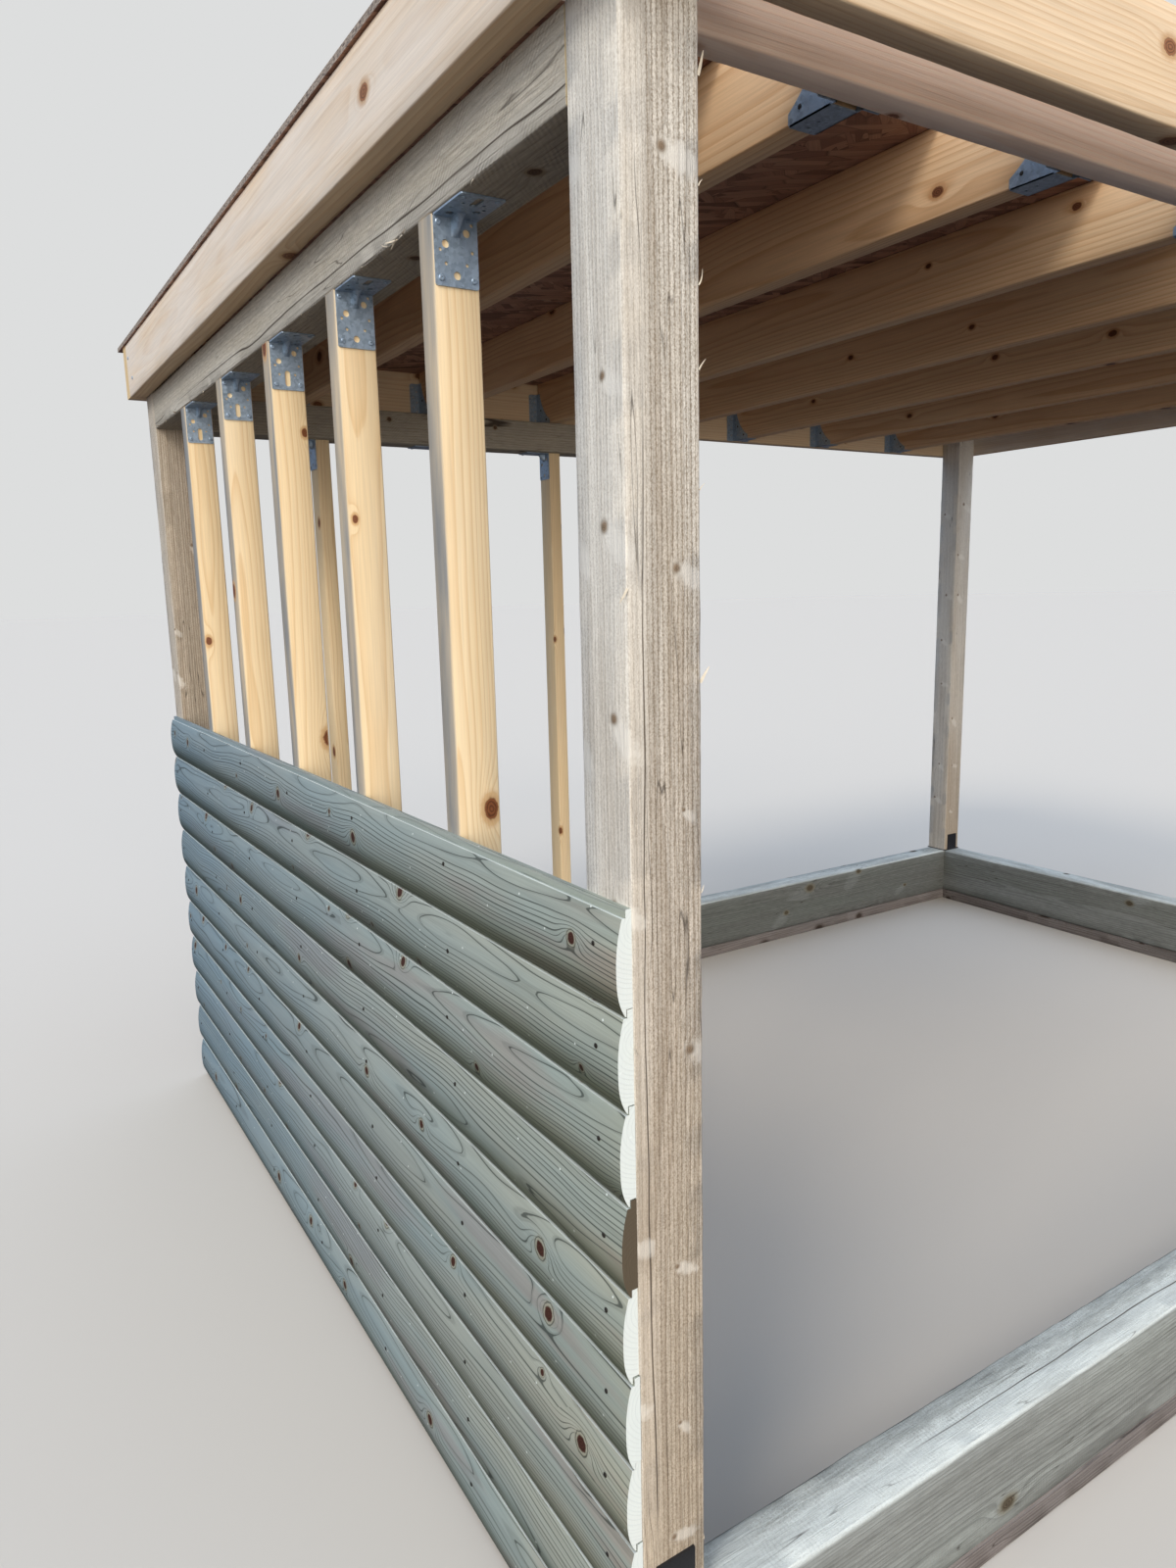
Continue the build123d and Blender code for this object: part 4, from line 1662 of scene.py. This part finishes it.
@dataclass
class AngleBrackets:
    """The ribbed angle brackets at the stud heads.

    Holes are given across the leg and out from the bend.
    """

    leg: float = 0.090
    width: float = 0.065
    sheet: float = 0.0025
    corner: float = 0.003
    bolt: float = 0.0055
    bolts: tuple[Pair, Pair] = ((0.016, 0.036), (-0.016, 0.019))
    end_hole: float = 0.075
    slot_length: float = 0.030
    slot_middle: float = 0.068
    rib_width: float = 0.013
    rib_reach: float = 0.024
    rib_rise: float = 0.004
    rib_steps: tuple[int, int] = (8, 12)
    nail_radius: float = 0.0025
    stud_nails: tuple[Pair, ...] = (
        (-0.024, 0.080), (0.025, 0.079), (-0.026, 0.010), (0.024, 0.008),
        (-0.024, 0.044), (0.024, 0.043), (-0.016, 0.061), (0.0155, 0.060),
    )
    beam_nails: tuple[Pair, ...] = (
        (-0.024, 0.077), (0.024, 0.082), (-0.015, 0.059), (0.014, 0.062),
        (0.021, 0.047), (-0.023, 0.039), (0.018, 0.007),
    )
    round_count: int = 2

    def plate(self, nails: Sequence[Pair], with_slot: bool, far_side: int) -> Plate:
        """Describe one leg, from the bend outward.

        Args:
            nails: The small holes.
            with_slot: Whether the hole at the leg's end is a slot.
            far_side: Side of the bolt hole that is farther from the bend.

        Returns:
            The leg.
        """
        half = self.width / 2
        rims = [rounded_rim((-half, 0.0), (half, self.leg), (0, 0, self.corner, self.corner))]
        holes = [(far_side * x, y, self.bolt) for x, y in self.bolts]
        holes += [(x, y, self.nail_radius) for x, y in nails]
        if with_slot:
            low = self.slot_middle - self.slot_length / 2
            ends = ((-self.bolt, low), (self.bolt, low + self.slot_length))
            rims.append(rounded_rim(*ends, (self.bolt - 1e-4,) * 4))
        else:
            holes.append((0.0, self.end_hole, self.bolt))
        return Plate(rims, holes, self.sheet)

    def rib(self) -> Mesh:
        """Make the pressed rib across the bend, as a smooth ridge.

        Returns:
            The rib.
        """
        across, along = self.rib_steps
        points, faces = [], []
        for row in range(along + 1):
            share = row / along
            if share < 0.5:
                base = Vector((-self.sheet, -self.rib_reach * (1 - 2 * share) - self.sheet))
            else:
                base = Vector((-self.rib_reach * (2 * share - 1) - self.sheet, -self.sheet))
            start = Vector((-self.sheet, -self.sheet - self.rib_reach))
            end = Vector((-self.sheet - self.rib_reach, -self.sheet))
            ridge = start.lerp(end, share) - Vector((1, 1)) * self.rib_rise * 2.4 * share * (1 - share)
            for column in range(across + 1):
                side = 2 * column / across - 1
                lift = (1 - side * side) ** 0.7
                spot = base.lerp(ridge, lift)
                points.append((side * self.rib_width / 2, spot.x, spot.y))
        for row in range(along):
            for column in range(across):
                a = row * (across + 1) + column
                b = a + across + 1
                faces.append((a, b, b + 1, a + 1))
        return new_mesh("rib", points, (), faces)

    def build(self, tree: Tree, fasteners: Fasteners, finishes: Finishes) -> None:
        """Build the brackets of both walls.

        Args:
            tree: The plate tree.
            fasteners: Takes the screws.
            finishes: The materials.
        """
        finish = finishes.slots["galvanised_steel"]
        down = turned(((1, 0, 0), (0, 0, -1), (0, 1, 0)), (0.0, -self.sheet, 0.0))
        under = turned(((1, 0, 0), (0, -1, 0), (0, 0, -1)))
        rib = self.rib()
        legs = {}
        for with_slot in (False, True):
            stud_leg = self.plate(self.stud_nails, with_slot, -1).mesh(tree, finish)
            beam_leg = self.plate(self.beam_nails, not with_slot, 1).mesh(tree, finish)
            legs[with_slot] = [(stud_leg, down), (beam_leg, under), (rib, Matrix.Identity(4))]
        low, high = node_box("left_studs")
        middle = (low.x + high.x) / 2
        fronts = row_places(low.y, high.y, LEFT_STUDS, PLANK)
        left = [Matrix.Translation((middle, front, high.z)) for front in fronts]
        low, high = node_box("back_studs")
        middle = (low.y + high.y) / 2
        turn = Matrix.Rotation(math.radians(-90), 4, "Z")
        sides = row_places(low.x, high.x, BACK_STUDS, PLANK)
        back = [Matrix.Translation((near, middle, high.z)) @ turn for near in sides]
        for side, places in (("left", left), ("back", back)):
            parts = []
            for index, place in enumerate(places):
                with_slot = side == "left" and index >= self.round_count
                parts += [(mesh, place @ local) for mesh, local in legs[with_slot]]
                for x, y in self.stud_nails[:3]:
                    spot = place @ Vector((x, -self.sheet, -y))
                    fasteners.add("screw", spot, place.to_3x3() @ Vector((0, -1, 0)))
                for x, y in self.beam_nails[:2]:
                    spot = place @ Vector((x, -y, -self.sheet))
                    fasteners.add("screw", spot, place.to_3x3() @ Vector((0, 0, -1)))
            name = f"{side}_bracket_row"
            piece = bpy.data.objects.new(name, joined(name, parts))
            settle(piece, "galvanised_steel", [f"{side}_stud_brackets"], finishes)


@dataclass
class JoistHangers:
    """The sheet hangers at both ends of the joists."""

    sheet: float = 0.002
    seat: float = 0.088
    gap: float = 0.010
    height: float = 0.110
    lip: float = 0.014
    shoulder: float = 0.020
    hollow: float = 0.012
    hollow_steps: int = 8
    flange: float = 0.034
    hole_sides: int = 10
    nail_radius: float = 0.0024
    cheek_nails: tuple[Pair, ...] = (
        (0.066, 0.016), (0.045, 0.030), (0.030, 0.052), (0.020, 0.078), (0.028, 0.018),
    )
    seat_nails: tuple[Pair, ...] = ((0.022, 0.055), (0.023, 0.075))
    wing_nails: tuple[Pair, ...] = (
        (0.010, 0.020), (0.022, 0.034), (0.010, 0.050), (0.022, 0.066), (0.010, 0.084), (0.024, 0.098),
    )

    def plate(self, rim: list[Pair], nails: Sequence[Pair]) -> Plate:
        """Make a part of the hanger from its rim and its nail holes."""
        return Plate([rim], [(x, y, self.nail_radius) for x, y in nails], self.sheet, self.hole_sides)

    def cheek(self) -> Plate:
        """Describe a cheek: along the joist first, then up.

        Returns:
            The cheek.
        """
        low, high = Vector((self.seat, self.lip)), Vector((self.shoulder, self.height))
        out = Vector((low.y - high.y, high.x - low.x)).normalized()
        edge = []
        for step in range(self.hollow_steps + 1):
            share = step / self.hollow_steps
            spot = low.lerp(high, share) + out * self.hollow * 4 * share * (1 - share)
            edge.append((spot.x, spot.y))
        foot = [(0.0, -self.sheet), (self.seat - 0.003, -self.sheet), (self.seat, 0.001)]
        rim = [*foot, *edge, (0.0, self.height)]
        return self.plate(rim, self.cheek_nails)

    def bottom(self) -> Plate:
        """Describe the seat: across the joist first, then along it.

        Returns:
            The seat.
        """
        low, high = (-self.sheet, self.gap), (PLANK + self.sheet, self.seat)
        return self.plate(rounded_rim(low, high, (0, 0, 0.003, 0.003)), self.seat_nails)

    def wing(self) -> Plate:
        """Describe the left flange: outward first, then up.

        Returns:
            The flange.
        """
        rim = rounded_rim((0.0, -self.sheet), (self.flange, self.height), (0, 0.004, 0.008, 0))
        return self.plate(rim, self.wing_nails)

    def build(self, tree: Tree, fasteners: Fasteners, finishes: Finishes) -> None:
        """Build the hangers of both rows.

        Args:
            tree: The plate tree.
            fasteners: Takes the nails.
            finishes: The materials.
        """
        finish = finishes.slots["galvanised_steel"]
        cheek = self.cheek().mesh(tree, finish)
        bottom = self.bottom().mesh(tree, finish)
        wing = self.wing().mesh(tree, finish)
        right = PLANK + self.sheet
        local = [
            (cheek, turned(((0, 1, 0), (0, 0, 1), (1, 0, 0)), (-self.sheet, 0.0, 0.0))),
            (cheek, turned(((0, 1, 0), (0, 0, 1), (1, 0, 0)), (PLANK, 0.0, 0.0))),
            (bottom, turned(((1, 0, 0), (0, 1, 0), (0, 0, 1)), (0.0, 0.0, -self.sheet))),
            (wing, turned(((-1, 0, 0), (0, 0, 1), (0, 1, 0)), (0.0, 0.0, 0.0))),
            (wing, turned(((1, 0, 0), (0, 0, 1), (0, -1, 0)), (right - self.sheet, self.sheet, 0.0))),
        ]
        joists_low, joists_high = node_box("roof_joists")
        lefts = row_places(joists_low.x, joists_high.x, JOISTS, PLANK)
        for side in ("front", "back"):
            low, high = node_box(f"{side}_joist_hangers")
            parts = []
            for left in lefts:
                place = Matrix.Translation((left, low.y, joists_low.z))
                if side == "back":
                    place = Matrix.Translation((left + PLANK, high.y, joists_low.z))
                    place = place @ Matrix.Rotation(math.pi, 4, "Z")
                parts += [(mesh, place @ spot) for mesh, spot in local]
                for along, up in self.cheek_nails[:3:2]:
                    for side_x, way in ((-self.sheet, -1), (right, 1)):
                        facing = place.to_3x3() @ Vector((way, 0, 0))
                        fasteners.add("nail", place @ Vector((side_x, along, up)), facing)
            name = f"{side}_hanger_row"
            piece = bpy.data.objects.new(name, joined(name, parts))
            settle(piece, "galvanised_steel", [f"{side}_joist_hangers"], finishes)


@dataclass
class SmallThings:
    """Nails along the cladding, screws at the joints, and splinters on the sawn arrises."""

    screw_places: tuple[Pair, Pair] = ((0.3, 0.3), (0.7, 0.72))  # Shares of post and board.
    nail_seed: int = 77
    splinter_seed: int = 31
    near_levels: tuple[float, ...] = (0.34, 0.52, 0.93, 1.22, 1.47, 1.66, 1.79, 1.88, 1.99, 2.06)
    far_levels: tuple[float, ...] = (0.61, 1.05, 1.58, 1.93)
    beam_splinters: int = 16

    def nail_cladding(self, wall: LogLapWall, fasteners: Fasteners) -> None:
        """Nail each board to the posts and studs behind it.

        Args:
            wall: The wall.
            fasteners: Takes the nails.
        """
        low, high = node_box("left_studs")
        places = [near + PLANK / 2 for near in row_places(low.y, high.y, LEFT_STUDS, PLANK)]
        draw = random.Random(self.nail_seed)
        for index in range(1, wall.board_count + 1):
            foot, top = node_box(f"cladding_board_{index}")
            ends = (foot.y + wall.nail_inset, top.y - wall.nail_inset)
            for place in (ends[0], *places, ends[1]):
                share = wall.nail_share + draw.uniform(-0.10, 0.10)
                height = 2 * share - 1
                depth, higher = wall.depth(height), wall.depth(height + 0.02)
                slope = (depth - higher) / (0.01 * wall.cover)
                aside = draw.uniform(-0.008, 0.008)
                spot = Vector((top.x - depth - 0.0002, place + aside, foot.z + wall.cover * share))
                fasteners.add("nail", spot, Vector((-1.0, 0.0, slope)))

    def screw_joints(self, fasteners: Fasteners) -> None:
        """Screw the roof boards to the posts.

        Args:
            fasteners: Takes the screws.
        """
        low, high = node_box("left_fascia")
        for place in ("front_left", "back_left"):
            post = node_box(f"{place}_post")[0]
            for share, lift in self.screw_places:
                spot = Vector((low.x, post.y + share * POST, low.z + lift * (high.z - low.z)))
                fasteners.add("screw", spot, Vector((-1, 0, 0)))
        low, high = node_box("front_fascia")
        for place in ("front_left", "front_right"):
            post = node_box(f"{place}_post")[0]
            for share, lift in self.screw_places:
                spot = Vector((post.x + share * POST, low.y, low.z + lift * (high.z - low.z)))
                fasteners.add("screw", spot, Vector((0, -1, 0)))

    def splinter(self) -> Mesh:
        """Make one splinter: a thin blade that tapers and curls away.

        Returns:
            Its mesh, with the root at the origin and the length up Z.
        """
        steps, length, width, thick, curl = 6, 0.020, 0.0036, 0.0014, 0.009
        points, faces = [], []
        for step in range(steps + 1):
            share = step / steps
            half = width / 2 * (1 - 0.75 * share * share)
            bend = curl * share * share
            up = length * share
            back = bend + thick * (1 - share)
            points += [(-half, bend, up), (half, bend, up), (0.3 * half, back, up)]
        for step in range(steps):
            a, b = 3 * step, 3 * (step + 1)
            faces += [(a, a + 1, b + 1, b), (a + 1, a + 2, b + 2, b + 1), (a + 2, a, b, b + 2)]
        faces += [(2, 1, 0), (3 * steps, 3 * steps + 1, 3 * steps + 2)]
        return new_mesh("splinter", points, (), faces)

    def raise_splinters(self, fasteners: Fasteners) -> None:
        """Mark where splinters stand on the sawn arrises.

        Args:
            fasteners: Takes them.
        """
        draw = random.Random(self.splinter_seed)
        low, high = node_box("front_left_post")
        for level in self.near_levels:
            spot = Vector((high.x - 0.0012, low.y + 0.0015, level + draw.uniform(-0.02, 0.02)))
            fasteners.add("splinter", spot, Vector((draw.uniform(0.15, 0.5), -0.1, 1.0)))
        for level in self.far_levels:
            spot = Vector((low.x + 0.0012, low.y + 0.0015, level + draw.uniform(-0.03, 0.03)))
            fasteners.add("splinter", spot, Vector((draw.uniform(-0.4, -0.15), -0.2, -1.0)))
        low, high = node_box("left_beam")
        for _ in range(self.beam_splinters):
            spot = Vector((low.x + 0.001, draw.uniform(low.y, high.y), low.z + 0.001))
            facing = Vector((-0.2, draw.choice((-1, 1)), draw.uniform(-0.5, -0.1)))
            fasteners.add("splinter", spot, facing)


@dataclass
class Stage:
    """The pale floor, the soft light and the camera, none of which belongs to the store."""

    camera_place: Triple = (-2.4692, -2.2334, 1.5578)
    yaw: float = 31.89
    pitch: float = 10.35
    roll: float = 1.37
    focal_pixels: float = 1061.7
    frame_height: float = 1600.0
    floor_radius: float = 150.0
    floor_colour: str = "#CFC8BC"
    floor_bounce: str = "#4A4547"
    backdrop: str = "#DDDEDE"
    sky: str = "#D3E4FF"
    horizon_light: float = 0.36
    zenith_light: float = 1.3
    lamps: tuple[tuple[str, Triple, float, float, str], ...] = (
        ("above", (-0.66, -0.42, 0.62), 20.0, 1.45, "#FFF6EA"),
        ("left", (-0.82, -0.52, 0.20), 36.0, 0.60, "#FFF8F0"),
        ("front", (-0.25, -0.95, 0.16), 50.0, 2.0, "#FFF4E8"),
    )

    def camera(self) -> None:
        """Set up the camera at the photograph's viewing angle."""
        yaw, pitch, roll = (math.radians(a) for a in (self.yaw, self.pitch, self.roll))
        flat = math.cos(pitch)
        ahead = Vector((math.sin(yaw) * flat, math.cos(yaw) * flat, -math.sin(pitch)))
        level = Vector((math.cos(yaw), -math.sin(yaw), 0.0))
        up = level.cross(ahead)
        right = math.cos(roll) * level - math.sin(roll) * up
        up = right.cross(ahead)
        data = bpy.data.cameras.new("camera")
        data.sensor_width = 36.0
        data.lens = self.focal_pixels * data.sensor_width / self.frame_height
        data.clip_end = 200.0
        camera = new_object("camera", data)
        turn = Matrix((right, up, -ahead)).transposed().to_4x4()
        camera.matrix_world = Matrix.Translation(self.camera_place) @ turn
        bpy.context.scene.camera = camera

    def floor(self) -> None:
        """Lay a plain pale floor."""
        edge = self.floor_radius
        points = [(-edge, -edge, 0), (edge, -edge, 0), (edge, edge, 0), (-edge, edge, 0)]
        mesh = new_mesh("floor", points, (), [(0, 1, 2, 3)])
        # Plain matt floor. It looks pale, but throws less light up than it shows.
        made, g = open_material("pale_floor")
        seen = g.add("ShaderNodeLightPath").outputs["Is Camera Ray"]
        colour = g.mix(seen, self.floor_bounce, self.floor_colour)
        shader = g.add("ShaderNodeBsdfDiffuse", {"Color": colour})
        g.add("ShaderNodeOutputMaterial", {"Surface": shader})
        mesh.materials.append(made)
        floor = new_object("floor", mesh)
        floor.visible_shadow = False

    def light(self) -> None:
        """Light the store from all round, and a little more from the front left."""
        world = bpy.data.worlds.new("studio")
        world.use_nodes = True
        g = Graph(world.node_tree)
        seen = g.add("ShaderNodeLightPath").outputs["Is Camera Ray"]
        rise = g.parts(g.add("ShaderNodeTexCoord").outputs["Generated"])[2]
        strength = g.span(rise, 0.05, 0.85, to=(self.horizon_light, self.zenith_light), smooth=True)
        strength = g.math("MULTIPLY", strength, g.math("GREATER_THAN", rise, 0.0))
        around = g.add("ShaderNodeBackground", {"Color": linear(self.sky), "Strength": strength})
        behind = g.add("ShaderNodeBackground", {"Color": linear(self.backdrop), "Strength": 1.0})
        mixed = g.add("ShaderNodeMixShader", {0: seen, 1: around, 2: behind})
        g.add("ShaderNodeOutputWorld", {"Surface": mixed})
        bpy.context.scene.world = world
        for lamp in self.lamps:
            self.lamp(*lamp)

    def lamp(self, name: str, towards: Triple, spread: float, strength: float, colour: str) -> None:
        """Shine one soft lamp from far away.

        Args:
            name: The lamp's name.
            towards: Direction from the store to the lamp.
            spread: How wide the lamp looks from the store, in degrees.
            strength: Its strength.
            colour: Hex colour.
        """
        data = bpy.data.lights.new(name, "SUN")
        data.angle = math.radians(spread)
        data.energy = strength
        data.color = linear(colour)[:3]
        lamp = new_object(name, data)
        lamp.rotation_mode = "QUATERNION"
        lamp.rotation_quaternion = (-Vector(towards)).to_track_quat("-Z", "Y")


@dataclass
class CarriedOver:
    """CAD nodes whose shape is kept, which only get a finish."""

    nodes: dict[str, str] = field(
        default_factory=lambda: {
            "roof_deck_front": "strand_board", "roof_deck_back": "strand_board",
            "post_shoes": "black_steel",
        }
    )

    def dress(self, finishes: Finishes) -> None:
        """Give each node its finish.

        Args:
            finishes: The materials.
        """
        for name, slot in self.nodes.items():
            for material_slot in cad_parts[name].material_slots:
                material_slot.material = finishes.slots[slot]
            log.info("%s keeps its shape", name)


def corners(box: tuple) -> list[list[float]]:
    """Turn a box's two corners into plain lists."""
    return [[float(value) for value in corner] for corner in box]


def main() -> None:
    """Build the store's looks around the frame, piece by piece."""
    logging.basicConfig(level=logging.INFO, format="%(name)s %(message)s")
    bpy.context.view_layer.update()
    scene = bpy.context.scene
    scene.view_settings.view_transform = "Standard"
    stage = Stage()
    stage.camera()
    stage.floor()
    stage.light()
    finishes = Finishes()
    CarriedOver().dress(finishes)
    wall = LogLapWall()
    for part in (SleeperRing(), PostsAndBeams(), RoofFrame(), StudWalls(), wall):
        part.build(finishes)
    plates = plate_tree()
    fasteners = Fasteners(scatter_tree())
    AngleBrackets().build(plates, fasteners, finishes)
    JoistHangers().build(plates, fasteners, finishes)
    small = SmallThings()
    small.nail_cladding(wall, fasteners)
    small.screw_joints(fasteners)
    small.raise_splinters(fasteners)
    nail = Fasteners.head(NAIL_PROFILE, 8)
    screw = Fasteners.head(SCREW_PROFILE, 10)
    nails = Batch("nail_heads", "nail", 5, "galvanised_steel", finishes.nail)
    screws = Batch("screw_heads", "screw", 6, "galvanised_steel")
    slivers = Batch(
        "raised_splinters", "splinter", 7, "treated_post", finishes.splinter, tilt=0.35, sizes=(0.4, 1.0)
    )
    for batch, head in ((nails, nail), (screws, screw), (slivers, small.splinter())):
        fasteners.build(batch, head, finishes)


if __name__ == "__main__":
    main()
